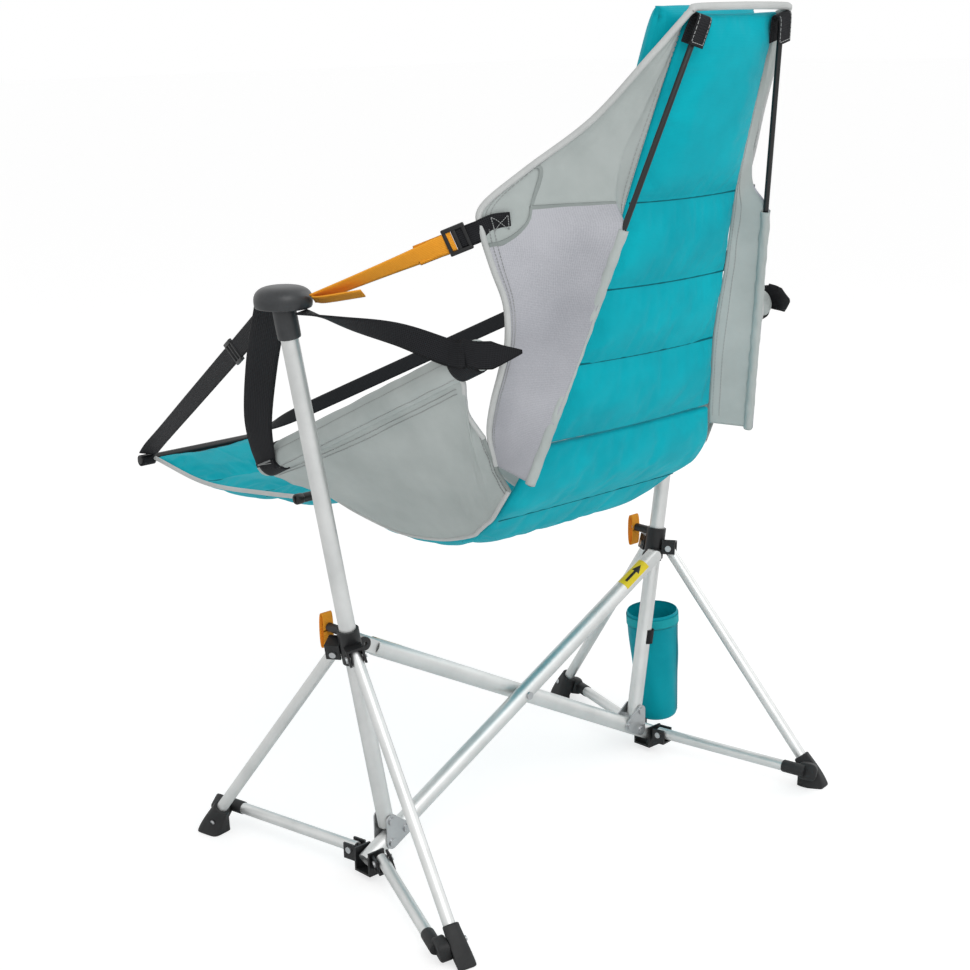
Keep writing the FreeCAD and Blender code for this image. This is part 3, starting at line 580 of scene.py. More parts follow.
def coatedMetal(name, light, dark, metallic, roughness):
    # zinc plate or black powder coat: faint orange peel
    material, shader = startMaterial(name, {"Metallic": metallic, "Roughness": roughness})
    coords = addNode(material, "ShaderNodeTexCoord")
    colour = shadeRamp(material, cloudy(material, coords, 40.0, 5.0), dark, light)
    return joinUp(material, shader, colour, cloudy(material, coords, 420.0, 2.0), 0.12, 0.2)


tealCloth = wovenPolyester("tealOxfordPolyester", "#00BCCB", "#009CAC", 1.5, 0.6, 0.02)
bagCloth = wovenPolyester("tealCoatedPolyester", "#06ACBA", "#0190A0", 1.2, 0.42, 0.0)
rimCloth = wovenPolyester("tealBindingTape", "#2AB9C0", "#149CA6", 1.0, 0.6, 0.04)
greyCloth = wovenPolyester("greyOxfordPolyester", "#C2C9C7", "#A9B1AF", 1.3, 0.66, 0.05)
pipingCloth = wovenPolyester("paleGreyPiping", "#D6D8D7", "#BEC1C0", 1.0, 0.6, 0.05)
seamCloth = wovenPolyester("greySeamTape", "#A9B0AE", "#8C9492", 1.0, 0.7, 0.05)
meshCloth = knittedMesh("greyWarpKnitMesh", "#BFC0C6", "#94969D", 2.2)
blackStrap = nylonWebbing("blackNylonWebbing", "#26272A", "#08090A", 1.8)
orangeStrap = nylonWebbing("orangeNylonWebbing", "#FFAF38", "#EE8F14", 1.6)
paleThread = wovenPolyester("palePolyesterThread", "#B9BBBB", "#8F9292", 0.8, 0.6, 0.1)
# dark teal for the quilting seams: stitching, coloured darker as painted shade in the seam channels
seamThreadAndShade = wovenPolyester("tealSeamThread", "#067480", "#045B66", 0.8, 0.7, 0.0)
darkThread = wovenPolyester("darkPolyesterThread", "#0C6670", "#07505A", 0.8, 0.6, 0.1)
silverTube = anodisedAluminium("satinAnodisedAluminium", "#E4E5E4", "#D0D2D1")
zincPlate = coatedMetal("zincPlatedSteel", "#C9CBCC", "#A9ABAD", 1.0, 0.34)
blackCoat = coatedMetal("blackPowderCoat", "#161719", "#0B0C0D", 0.0, 0.38)
blackNylon = mouldedPolymer("blackGlassNylon", "#1E1F21", "#0F1011", 0.5, 0.42, 0.12)
capNylon = mouldedPolymer("darkGreyNylon", "#3E4042", "#2C2E30", 0.6, 0.38, 0.12)
footRubber = mouldedPolymer("blackRubber", "#252627", "#151617", 0.8, 0.6, 0.2)
yellowLabel = mouldedPolymer("yellowVinylFilm", "#F2DC2E", "#E6CC1C", 0.4, 0.4, 0.02)

slotMaterials = {
    "frame_tube": silverTube, "bare_metal": zincPlate, "black_plastic": blackNylon,
    "cap_plastic": capNylon, "foot_rubber": footRubber, "teal_fabric": tealCloth,
    "grey_fabric": greyCloth, "grey_mesh": meshCloth, "black_webbing": blackStrap,
    "orange_webbing": orangeStrap, "black_rod": blackCoat,
}
slotOf = {entry["node"]: entry["material_slot"] for entry in record["subparts"]}
for nodeName, nodeObject in frame["nodes"].items():
    nodeObject.data.materials.clear()
    nodeObject.data.materials.append(slotMaterials[slotOf[nodeName]])
print("materials ready")


# camera, light and floor

view = {"from": (1620.3, 1704.7, 1095.2), "azimuth": 137.42, "elevation": 14.60,
        "roll": -1.27, "lens": 65.44}
azimuth = math.radians(view["azimuth"])
elevation = math.radians(view["elevation"])
back = Vector((math.sin(azimuth) * math.cos(elevation),
               -math.cos(azimuth) * math.cos(elevation), math.sin(elevation)))
right = (-back).cross(Vector((0, 0, 1))).normalized()
above = back.cross(right)
roll = math.radians(view["roll"])
right, above = (right * math.cos(roll) + above * math.sin(roll),
                above * math.cos(roll) - right * math.sin(roll))
lens = bpy.data.cameras.new("camera")
lens.lens = view["lens"]
lens.sensor_width = 36
lens.clip_start = 0.05
lens.clip_end = 60
camera = bpy.data.objects.new("camera", lens)
turned = Matrix((right, above, back)).transposed().to_4x4()
camera.matrix_world = Matrix.Translation(at(*view["from"])) @ turned
scene.collection.objects.link(camera)
scene.camera = camera

studio = {"world": 0.62, "key": 46.0, "keySize": 2.4, "fill": 20.0, "fillSize": 2.6,
          "floorSize": 40, "floorGlow": 1.32, "floorShare": 0.52}
white = linear("#FFFFFF")
world = bpy.data.worlds.new("paleStudio")
world.use_nodes = True
scene.world = world
world.node_tree.nodes.clear()
rays = addNode(world, "ShaderNodeLightPath").outputs
lit = addNode(world, "ShaderNodeBackground", {"Color": white, "Strength": studio["world"]})
seen = addNode(world, "ShaderNodeBackground", {"Color": white, "Strength": 1.0})
direct = combine(world, "MAXIMUM", rays["Is Camera Ray"], rays["Is Glossy Ray"])
direct = combine(world, "MAXIMUM", direct, rays["Is Transmission Ray"])
backdrop = addNode(world, "ShaderNodeMixShader", None, {0: direct, 1: lit.outputs[0], 2: seen.outputs[0]})
addNode(world, "ShaderNodeOutputWorld", None, {"Surface": backdrop.outputs[0]})


def addLamp(name, place, target, energy, size):
    light = bpy.data.lights.new(name, "AREA")
    light.energy = energy
    light.size = size
    lamp = bpy.data.objects.new(name, light)
    aim = (Vector(target) - Vector(place)).to_track_quat("-Z", "Y").to_matrix().to_4x4()
    lamp.matrix_world = Matrix.Translation(Vector(place)) @ aim
    scene.collection.objects.link(lamp)


addLamp("keyLamp", (1.2, 2.8, 3.0), (0, 0, 0.6), studio["key"], studio["keySize"])
addLamp("fillLamp", (-2.8, 0.6, 2.4), (0, 0, 0.6), studio["fill"], studio["fillSize"])

floorBm = bmesh.new()
bmesh.ops.create_grid(floorBm, x_segments=1, y_segments=1, size=studio["floorSize"])
floorMesh = bpy.data.meshes.new("floor")
floorBm.to_mesh(floorMesh)
floorBm.free()
floor = bpy.data.objects.new("floor", floorMesh)
scene.collection.objects.link(floor)
floorPaint, floorShader = startMaterial("paleFloorPaint", {"Roughness": 0.9, "Base Color": white,
                                                           "Specular IOR Level": 0.1})
glow = addNode(floorPaint, "ShaderNodeEmission", {"Strength": studio["floorGlow"]})
floorRays = addNode(floorPaint, "ShaderNodeLightPath").outputs
share = combine(floorPaint, "MULTIPLY", floorRays["Is Camera Ray"], studio["floorShare"])
floorMix = addNode(floorPaint, "ShaderNodeMixShader", None, {0: share,
                   1: floorShader.outputs["BSDF"], 2: glow.outputs["Emission"]})
floorPaint.node_tree.links.new(floorMix.outputs[0],
                               floorPaint.node_tree.nodes["Material Output"].inputs["Surface"])
floorMesh.materials.append(floorPaint)
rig.stage(floor)
scene.view_settings.view_transform = "Standard"
print("camera, light and floor ready")


# padded back, seat and leg rest

padCloth = {"thickness": 21, "rows": 96, "bending": 0.4, "slack": 0.02, "pressure": 4.0, "most": 7,
            "fill": 0.6}

backPad = {**padCloth, "rim": 5, "seams": [0.4, 0.6, 0.8], "sag": 5, "cols": 44}
backLine = [(375.5, 1104, 79), (337, 997, 89), (301, 893, 99), (272, 790, 113), (242, 699, 130),
            (212, 601, 159)]
paddedPanel("backPad", backLine, backPad, ["back_panel"])

seatPad = {**padCloth, "rim": 7, "seams": [0.285, 0.5, 0.715], "sag": 1, "rows": 110, "cols": 48}
seatLine = [(210.5, 597, 159), (186, 540, 178), (142, 495, 170), (78, 456, 149), (0, 432, 132),
            (-90, 422, 126), (-168, 436, 135), (-219, 457, 148)]
paddedPanel("seatPad", seatLine, seatPad, ["seat_panel"])

restPad = {**padCloth, "rim": 7, "seams": [0.25, 0.5, 0.75], "sag": 6, "cols": 40}
restLine = [(-237, 458, 117), (-300, 431, 112), (-440, 411, 107), (-600, 398, 104), (-748, 414, 101)]
paddedPanel("legRestPad", restLine, restPad, ["leg_rest"])
print("padded panels ready")

headPillow = {"size": (160, 46, 106), "leanLow": (0, 301, 893), "leanHigh": (0, 374, 1101),
              "drop": 0.006, "cuts": 23, "edge": 0.16,
              "bending": 0.5, "slack": 0.05, "pressure": 4.0, "most": 9, "fill": 0.7}


def makeHeadPillow():
    low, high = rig.box("headrest_pillow")
    centre = (Vector(low) + Vector(high)) / 2 - Vector((0, 0, headPillow["drop"]))
    lean = (at(*headPillow["leanHigh"]) - at(*headPillow["leanLow"])).normalized()
    turn = Matrix((Vector((1, 0, 0)), lean.cross(Vector((1, 0, 0))), lean)).transposed().to_4x4()
    bm = bmesh.new()
    bmesh.ops.create_cube(bm, size=1.0, calc_uvs=True)
    bmesh.ops.subdivide_edges(bm, edges=bm.edges, cuts=headPillow["cuts"],
                              use_grid_fill=True)
    uvLayer = bm.loops.layers.uv.verify()
    w, t, h = (s * 0.001 for s in headPillow["size"])
    for v in bm.verts:
        x, y, z = v.co * 2
        crown = (1 - abs(x) ** 3.5) ** 0.5 * (1 - abs(z) ** 3.5) ** 0.5
        thick = headPillow["edge"] + (1 - headPillow["edge"]) * crown
        v.co = Vector((x * w / 2, y * t / 2 * thick, z * h / 2))
    for face in bm.faces:
        for loop in face.loops:
            loop[uvLayer].uv = (loop.vert.co.x, loop.vert.co.z)
    bmesh.ops.transform(bm, matrix=Matrix.Translation(centre) @ turn, verts=bm.verts)
    bmesh.ops.recalc_face_normals(bm, faces=bm.faces)
    piece = finishPiece("headPillow", bm, tealCloth, "seat", ["headrest_pillow"])
    puff(piece, [0], headPillow)
    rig.padded(piece, fill=headPillow["fill"])


makeHeadPillow()


# wings: cloth from the back's edge over the rod and out to the armhole

rods = {"top": (72.5, 388.5, 1094), "bottom": (205, 243, 563), "radius": 3.5, "mouth": 0.43,
        "sleeve": 5.8, "sleeveFolds": 1.2, "sleeveCloth": 0.8}
wing = {"thickness": 1.6, "rows": 120, "cols": 60, "meshFrom": 0.345, "ridge": 0.3, "seamed": 0.62,
        "patch": (0.272, 0.106), "tapeTo": 0.74, "tape": 5.0, "tapeThick": 1.0}
wingInner = [(80.5, 374, 1103), (86, 355, 1049), (91, 337, 997), (95.5, 319, 945), (100, 303, 897),
             (103.5, 294, 868), (109, 284, 830), (115, 273, 790), (123, 257, 745), (132, 242, 699),
             (146, 227, 650), (160, 213, 603), (171, 203, 572)]
wingRidge = [(82, 380, 1106), (92, 356, 1052), (106, 333, 998), (118, 311, 946), (124, 308, 900),
             (131, 330, 868), (140.5, 320, 830), (150.5, 309.5, 790), (162, 297, 745),
             (173.5, 284.5, 699), (186, 271, 650), (198, 258, 603), (206, 249, 566)]
wingOuter = [(86, 388, 1107), (114, 350, 1056), (153, 299, 989), (206, 244, 934), (238.5, 207, 894),
             (238, 205, 866), (232, 216, 824), (225, 229, 782), (232, 238, 739), (238, 232, 703),
             (231, 210, 662), (219, 190, 620), (205, 186, 579)]
wingFaces = {}


def rodEnds(flip):
    return mirrored(at(*rods["top"]), flip), mirrored(at(*rods["bottom"]), flip)


def makeWing(side):
    flip = 1 if side == "left" else -1
    inner, ridge, outer = ([at(x * flip, y, z) for x, y, z in row]
                           for row in (wingInner, wingRidge, wingOuter))

    def place(u, v):
        a, b, c = (smoothAt(row, v) for row in (inner, ridge, outer))
        r = wing["ridge"]
        if u < r:
            p = a.lerp(b, u / r)
            slack = 0.003 * bump01(u / r)
        else:
            f = (u - r) / (1 - r)
            p = b.lerp(c, f)
            slack = 0.006 * bump01(f) * bump01(v * 1.05)
        crease = 0.0035 * noise.noise(Vector((u * 2.2 * flip, v * 5.0, 3.1)))
        crease += 0.0012 * noise.noise(Vector((u * 7.0, v * 14.0, 8.7)))
        hold = min(1.0, u * 12) * min(1.0, (1 - u) * 12)
        push = Vector((flip * -0.25, -0.97, 0))
        return p + push * ((slack + crease) * hold)

    wingFaces[side] = place
    bm = bmesh.new()
    spots = layGrid(bm, place, wing["rows"], wing["cols"])
    for face in bm.faces:
        u = sum(spots[v][0] for v in face.verts) / 4
        v = sum(spots[v][1] for v in face.verts) / 4
        tip = (u - 1) ** 2 / 0.075 + (v - wing["meshFrom"]) ** 2 / 0.0115
        lower = v > wing["meshFrom"] and u > wing["ridge"] - 0.01
        face.material_index = 1 if lower and tip > 1 else 0
    bmesh.ops.recalc_face_normals(bm, faces=bm.faces)
    piece = finishPiece(side + "Wing", bm, greyCloth, "seat", [side + "_wing"])
    piece.data.materials.append(meshCloth)
    area = sum(face.area for face in piece.data.polygons)
    thicken(piece, wing["thickness"])
    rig.sheet(piece, flat=(area / wing["seamed"], wing["seamed"]), held="stretched")
    runCord(side + "WingBinding", outer, 4.0, pipingCloth, steps=90)

    # seam tape where the mesh begins and round the tip patch
    outward = Vector((0.35 * flip, 0.93, 0))
    level = [place(wing["ridge"] + (wing["tapeTo"] - wing["ridge"]) * i / 12, wing["meshFrom"])
             for i in range(13)]
    arc = []
    for i in range(13):
        angle = math.pi * (0.5 + i / 12)
        arc.append(place(min(0.995, 1 + math.cos(angle) * wing["patch"][0]),
                         wing["meshFrom"] + math.sin(angle) * wing["patch"][1]))
    bm = bmesh.new()
    for line in (level, arc):
        widths = [(line[min(i + 1, 12)] - line[max(i - 1, 0)]).cross(outward) for i in range(13)]
        layWebbing(bm, [p + outward * 0.0014 for p in line], widths, wing["tape"], wing["tapeThick"], 40)
    finishPiece(side + "SeamTape", bm, seamCloth, "seat")

    # twin stitching down the back's edge and along the outer binding
    bm = bmesh.new()
    for u in (0.02, 0.075):
        stitchAcross(bm, place, (u, 0.03), (u, 0.97), 40, Vector((0, 0.0012, 0)))
    for u in (0.965, 0.94):
        stitchAcross(bm, place, (u, 0.02), (u, 0.95), 40, outward * 0.0012)
    finishPiece(side + "WingStitches", bm, paleThread, "seat", smooth=False)

    # the rod's own sleeve, below the mouth where the rod goes in
    top, low = rodEnds(flip)
    start = top.lerp(low, rods["mouth"])
    down = (low - start).normalized()
    across = down.cross(Vector((0, 0, 1))).normalized()
    off = down.cross(across)

    def wrap(u, v):
        angle = u * 2 * math.pi
        folds = noise.noise(Vector((math.cos(angle), math.sin(angle), v * 22)))
        size = (rods["sleeve"] + rods["sleeveFolds"] * folds) * 0.001
        return start.lerp(low, v * 0.995) + (across * math.cos(angle) + off * math.sin(angle)) * size

    bm = bmesh.new()
    layGrid(bm, wrap, 80, 20)
    bmesh.ops.remove_doubles(bm, verts=bm.verts, dist=0.00005)
    bmesh.ops.recalc_face_normals(bm, faces=bm.faces)
    thicken(finishPiece(side + "RodSleeve", bm, greyCloth, "seat"), rods["sleeveCloth"])


for side in ("left", "right"):
    makeWing(side)
print("wings ready")


# side panels between the arm and the seat

sidePanel = {"thickness": 1.6, "rows": 100, "cols": 44, "seamed": 0.5, "fall": 0.009, "armEnd": 0.6667}
panelLow = [(151, -220, 458), (137, -168, 437), (128, -90, 423), (134, 0, 433), (151, 78, 457),
            (161, 105, 472), (168, 125, 485), (173.5, 142, 496), (180, 163, 517), (185, 186, 543)]
panelHigh = [(268.5, -193, 516), (268, -131, 545), (266, -54, 581), (264, 27, 619), (262.5, 91, 649),
             (261, 142, 673), (260, 186, 693), (249, 180, 668), (239, 174, 645), (223, 184, 615)]


def makeSidePanel(side):
    flip = 1 if side == "left" else -1
    low = [at(x * flip, y, z) for x, y, z in panelLow]
    high = [at(x * flip, y, z) for x, y, z in panelHigh]

    def place(u, v):
        a, b = smoothAt(low, v), smoothAt(high, v)
        fall = sidePanel["fall"] * bump01(u) * (0.3 + 0.7 * bump01(v))
        crease = 0.004 * noise.noise(Vector((u * 1.6, v * 6.0 + 4 * u, 1.7 * flip)))
        crease += 0.0014 * noise.noise(Vector((u * 5.0, v * 17.0, 5.2)))
        hold = min(1.0, u * 10) * min(1.0, (1 - u) * 10)
        return a.lerp(b, u) + Vector((flip * 0.55, 0, -0.84)) * (fall + crease * hold)

    bm = bmesh.new()
    layGrid(bm, place, sidePanel["rows"], sidePanel["cols"])
    bmesh.ops.recalc_face_normals(bm, faces=bm.faces)
    piece = finishPiece(side + "SidePanel", bm, greyCloth, "seat", [side + "_side_panel"])
    area = sum(face.area for face in piece.data.polygons)
    thicken(piece, sidePanel["thickness"])
    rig.sheet(piece, flat=(area / sidePanel["seamed"], sidePanel["seamed"]), held="hung")
    runCord(side + "PanelSeam", [place(i / 12, 1.0) for i in range(13)], 2.6, seamCloth, steps=40)
    hole = [place(1.0, sidePanel["armEnd"] + (1 - sidePanel["armEnd"]) * i / 10) for i in range(11)]
    runCord(side + "ArmholeBinding", hole, 3.2, pipingCloth, steps=50)
    under = [place(0.0, i / 60) for i in range(61)]
    runCord(side + "SeatPiping", under, 3.0, pipingCloth, steps=90)
    bm = bmesh.new()
    for u in (0.955, 0.925):
        stitchAcross(bm, place, (u, 0.02), (u, 0.64), 40, Vector((flip * 0.7, 0, -0.7)) * 0.0014)
    for v in (0.985, 0.965):
        stitchAcross(bm, place, (0.05, v), (0.95, v), 20, Vector((flip * 0.7, 0.3, -0.6)) * 0.0014)
    finishPiece(side + "PanelStitches", bm, paleThread, "seat", smooth=False)


for side in ("left", "right"):
    makeSidePanel(side)
print("side panels ready")


# arms: a tube in a padded sleeve

arm = {"front": (270, -207, 525), "rear": (259, 226, 728), "tube": 8, "wide": 15.6, "tall": 18.6,
       "lift": 1.6, "cloth": 0.8, "rounding": 12, "length": 485, "fill": 0.7,
       "cuffs": (0.065, 0.94), "cuffWide": 38, "cuffThick": 1.8, "cuffLift": 1.9}


def onArm(share, flip):
    return mirrored(at(*arm["front"]).lerp(at(*arm["rear"]), share), flip)


def armFrame(flip):
    a, b = onArm(0, flip), onArm(1, flip)
    along = (b - a).normalized()
    outward = (Vector((flip, 0, 0)) - along * along.x * flip).normalized()
    return a, b, along, outward, outward.cross(along) * flip


def makeArm(side):
    flip = 1 if side == "left" else -1
    a, b, along, outward, over = armFrame(flip)
    bm = bmesh.new()
    roundBar(bm, a, b, arm["tube"] * 0.001)
    finishPiece(side + "ArmTube", bm, silverTube, "seat", [side + "_arm_tube"])

    def middleAt(v):
        return a.lerp(b, -0.008 + v * 1.016)

    def place(u, v):
        angle = u * 2 * math.pi
        rounded = min(1.0, min(v, 1 - v) * arm["length"] / arm["rounding"])
        end = math.sqrt(1 - (1 - rounded) ** 2)
        size = max(0.02, end) * 0.001
        size *= 1 + 0.05 * noise.noise(Vector((math.cos(angle) * 1.4, math.sin(angle) * 1.4, v * 16)))
        size *= 1 - 0.05 * math.exp(-((angle - 5.2) / 0.12) ** 2)
        rise = math.sin(angle) * arm["tall"] * size + arm["lift"] * 0.001 * end
        return middleAt(v) + outward * (math.cos(angle) * arm["wide"] * size) + over * rise

    bm = bmesh.new()
    layGrid(bm, place, 200, 40)
    bmesh.ops.remove_doubles(bm, verts=bm.verts, dist=0.00005)
    bmesh.ops.recalc_face_normals(bm, faces=bm.faces)
    sleeve = finishPiece(side + "ArmSleeve", bm, greyCloth, "seat", [side + "_arm_sleeve"])
    thicken(sleeve, arm["cloth"])
    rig.padded(sleeve, fill=arm["fill"])
    bm = bmesh.new()
    for u in (0.855, 0.05):
        line = []
        for i in range(51):
            v = 0.04 + 0.92 * i / 50
            p = place(u, v)
            line.append(p + (p - middleAt(v)).normalized() * 0.0006)
        stitchRow(bm, line, 5.0, 0.8)
    finishPiece(side + "ArmStitches", bm, paleThread, "seat", smooth=False)


for side in ("left", "right"):
    makeArm(side)
print("arms ready")


# rods, cross bars and their pockets

bars = {"radius": 6.8, "tip": 7.8, "cross": (-228, 460), "rest": (-757, 415)}
rodBm = bmesh.new()
for flip in (1, -1):
    top, low = rodEnds(flip)
    roundBar(rodBm, top, low, rods["radius"] * 0.001)
finishPiece("backRods", rodBm, blackCoat, "seat", ["back_rods"])


def makeBar(name, node, level, tips):
    low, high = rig.box(node)
    ends = [at(x * 1000, *level) for x in (low[0], high[0])]
    bm = bmesh.new()
    roundBar(bm, *ends, bars["radius"] * 0.001)
    for end in ends if tips else []:
        roundBar(bm, mirrored(end, 0.94), end, bars["tip"] * 0.001, bevel=0.002)
    finishPiece(name, bm, blackCoat, "seat", [node])


makeBar("seatCrossBar", "seat_cross_bar", bars["cross"], True)
makeBar("legRestBar", "leg_rest_bar", bars["rest"], False)

pocketBm = bmesh.new()
threadBm = bmesh.new()
for flip in (1, -1):
    top, low = rodEnds(flip)
    rod = (top - low).normalized()
    out = Vector((0, 1, 0)) - rod * rod.y
    out.normalize()
    reach = [(-0.025, -0.0062), (-0.012, -0.006), (0.005, -0.0052), (0.0085, -0.002),
             (0.0085, 0.002), (0.005, 0.0052), (-0.012, 0.006), (-0.025, 0.0062)]
    path = [top + rod * a + out * b for a, b in reach]
    across = [out.cross(rod)] * len(path)
    face = layWebbing(pocketBm, path, across, 24, 1.6, 60)
    for start, end, count in (((0.1, 0.62), (0.1, 0.98), 12), ((0.9, 0.62), (0.9, 0.98), 12),
                              ((0.1, 0.975), (0.9, 0.975), 8)):
        stitchAcross(threadBm, face, start, end, count, out * 0.0012, 3.6, 0.7)
finishPiece("rodPockets", pocketBm, blackStrap, "seat", ["rod_pockets"])
finishPiece("pocketStitches", threadBm, paleThread, "seat", smooth=False)

# binding along the head edge and round the leg rest
top = [at(-86, 388, 1107), at(-76, 389, 1110), at(0, 389, 1111), at(76, 389, 1110), at(86, 388, 1107)]
runCord("headBinding", top, 4.6, pipingCloth, steps=60)
for side, flip in (("left", 1), ("right", -1)):
    edge = [at((half + 3) * flip, y, z + 2) for y, z, half in restLine]
    runCord(side + "RestPiping", edge, 3.4, pipingCloth, steps=70)
print("rods, bars and bindings ready")


# post caps: a flat mushroom with a rounded rim over a tapered collar

postCap = {"radius": 35.5, "low": 775, "high": 803, "collar": 14.6, "collarLength": 39}
postLean = math.radians(10.09)
cap = at(384.2, 12.5, 775)


def makeCap(side):
    flip = 1 if side == "left" else -1
    r, low, high = postCap["radius"], postCap["low"], postCap["high"]
    profile = [(0, high), (r * 0.5, high - 0.6), (r * 0.76, high - 3), (r * 0.92, high - 7.5),
               (r * 0.99, high - 13), (r, high - 18), (r * 0.985, low + 2.5), (r * 0.93, low + 0.4),
               (r * 0.6, low), (0, low)]
    bm = bmesh.new()
    spinProfile(bm, [(x * 0.001, z * 0.001) for x, z in profile])
    bmesh.ops.translate(bm, vec=Vector((cap.x * flip, cap.y * flip, 0)), verts=bm.verts)
    down = Vector((-math.sin(postLean) * flip, 0, -math.cos(postLean)))
    top = Vector((cap.x * flip, cap.y * flip, low * 0.001 + 0.002))
    collarEnd = top + down * (postCap["collarLength"] * 0.001)
    roundBar(bm, top, collarEnd, postCap["collar"] * 0.001, segments=48, bevel=0.0015)
    bmesh.ops.recalc_face_normals(bm, faces=bm.faces)
    piece = finishPiece(side + "PostCap", bm, capNylon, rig.body_of(frame["nodes"][side + "_cap"])[0],
                        [side + "_cap"])
    refine(piece)


for side in ("left", "right"):
    makeCap(side)
print("caps ready")


# webbing straps, buckles and cuffs

webbing = {"arm": 40, "armRear": 31, "armThick": 2.2, "recline": 24, "tail": 23.4, "fold": 20,
           "rest": 24.6, "slim": 1.5, "tabThick": 1.6, "patchThick": 1.8}
buckle = {"width": 33, "length": 29, "thick": 5.0, "rail": 5, "rung": 4.6, "round": 1.2}
strapZ = cap.z - 0.0015
sewn = {kind: bmesh.new() for kind in ("front", "rear", "recline", "rest", "cuffs", "locks", "tabs",
                                       "tacks")}


def band(kind, points, widths, flip, width, thick, rows, pointed=0.0):
    # the lines are the left side's
    return layWebbing(sewn[kind], [mirrored(p, flip) for p in points],
                      [mirrored(w, flip) for w in widths], width, thick, rows, pointed)


def tack(face, lines, lift, size=0.8):
    for start, end, count in lines:
        stitchAcross(sewn["tacks"], face, start, end, count, lift, 2.6, size)


def ladderLock(middle, along, across, flip):
    # a moulded buckle: two rails and three rounded bars
    middle, along, across = (mirrored(p, flip) for p in (middle, along, across))
    x = (across - along * across.dot(along)).normalized()
    turn = Matrix((x, along, x.cross(along))).transposed().to_4x4()
    place = Matrix.Translation(middle) @ turn
    wide, long, thick, rail, rung = (buckle[key] for key in ("width", "length", "thick", "rail", "rung"))
    parts = [(way * (wide - rail) / 2, 0, rail, long, thick) for way in (-1, 1)]
    parts += [(0, way * (long - rung) / 2, wide - 8, rung, thick * 0.8) for way in (-1, 0, 1)]
    for x0, y0, w, l, t in parts:
        matrix = place @ Matrix.Translation(at(x0, y0, 0)) @ Matrix.Diagonal(at(w, l, t).to_4d())
        made = bmesh.ops.create_cube(sewn["locks"], size=1.0, matrix=matrix)["verts"]
        edges = list({e for v in made for e in v.link_edges})
        bmesh.ops.bevel(sewn["locks"], geom=edges, offset=buckle["round"] * 0.001, segments=2,
                        affect="EDGES", profile=0.5, material=-1)


def makeArmStraps(flip, capY):
    # front of the arm: webbing from under the cap, folded round the sleeve
    armAlong = armFrame(1)[2]
    low = onArm(0.07, 1)
    path = [Vector((cap.x, capY - 0.026, strapZ)), at(343, -96, 690), at(314, -152, 606),
            low + at(22.5, 1, 10), low + at(19.5, 1, -6)]
    path[1].y += capY - cap.y
    across = [Vector((-0.74, 0.67, 0)), Vector((-0.5, 0.8, 0.1)), Vector((-0.25, 0.9, 0.25)),
              armAlong, armAlong]
    face = band("front", path, across, flip, webbing["arm"], webbing["armThick"], 90)
    tack(face, [((0.12, v), (0.88, v), 10) for v in (0.9, 0.93, 0.96)], at(flip * 1.6, 0, 0), 0.9)

    # rear of the arm: a quarter twist on the way to the wing
    low = onArm(0.93, 1)
    path = [Vector((cap.x - 0.008, capY + 0.024, strapZ)), at(350, 88, 762), at(317, 145, 750),
            low + at(22.5, -4, 16), low + at(20.5, 21, 17)]
    across = [Vector((0.9, 0.42, 0)), Vector((0.75, 0.3, 0.6)), Vector((0.3, 0.2, 0.93)),
              Vector((0, 0, 1)), Vector((0, 0, 1))]
    band("rear", path, across, flip, webbing["armRear"], webbing["armThick"], 90)


def makeCuffs(flip):
    # the webbing that wraps the sleeve at both ends of the arm
    along, outward, over = armFrame(flip)[2:]
    bm = sewn["cuffs"]
    for share in arm["cuffs"]:
        middle = onArm(share, flip)

        def place(u, v, m=middle):
            angle = v * 2 * math.pi
            soft = 0.0005 * math.sin(angle * 3 + 1) - (0.0006 if u in (0, 1) else 0)
            wide, tall = ((arm[key] + arm["cuffLift"]) * 0.001 + soft for key in ("wide", "tall"))
            rise = math.sin(angle) * tall + arm["lift"] * 0.001
            run = (u - 0.5) * arm["cuffWide"] * 0.001
            return m + along * run + outward * (math.cos(angle) * wide) + over * rise

        first = len(bm.faces)
        layGrid(bm, place, 48, 8)
        bmesh.ops.remove_doubles(bm, verts=bm.verts, dist=0.00005)
        bm.faces.ensure_lookup_table()
        bmesh.ops.solidify(bm, geom=bm.faces[first:], thickness=arm["cuffThick"] * 0.001)


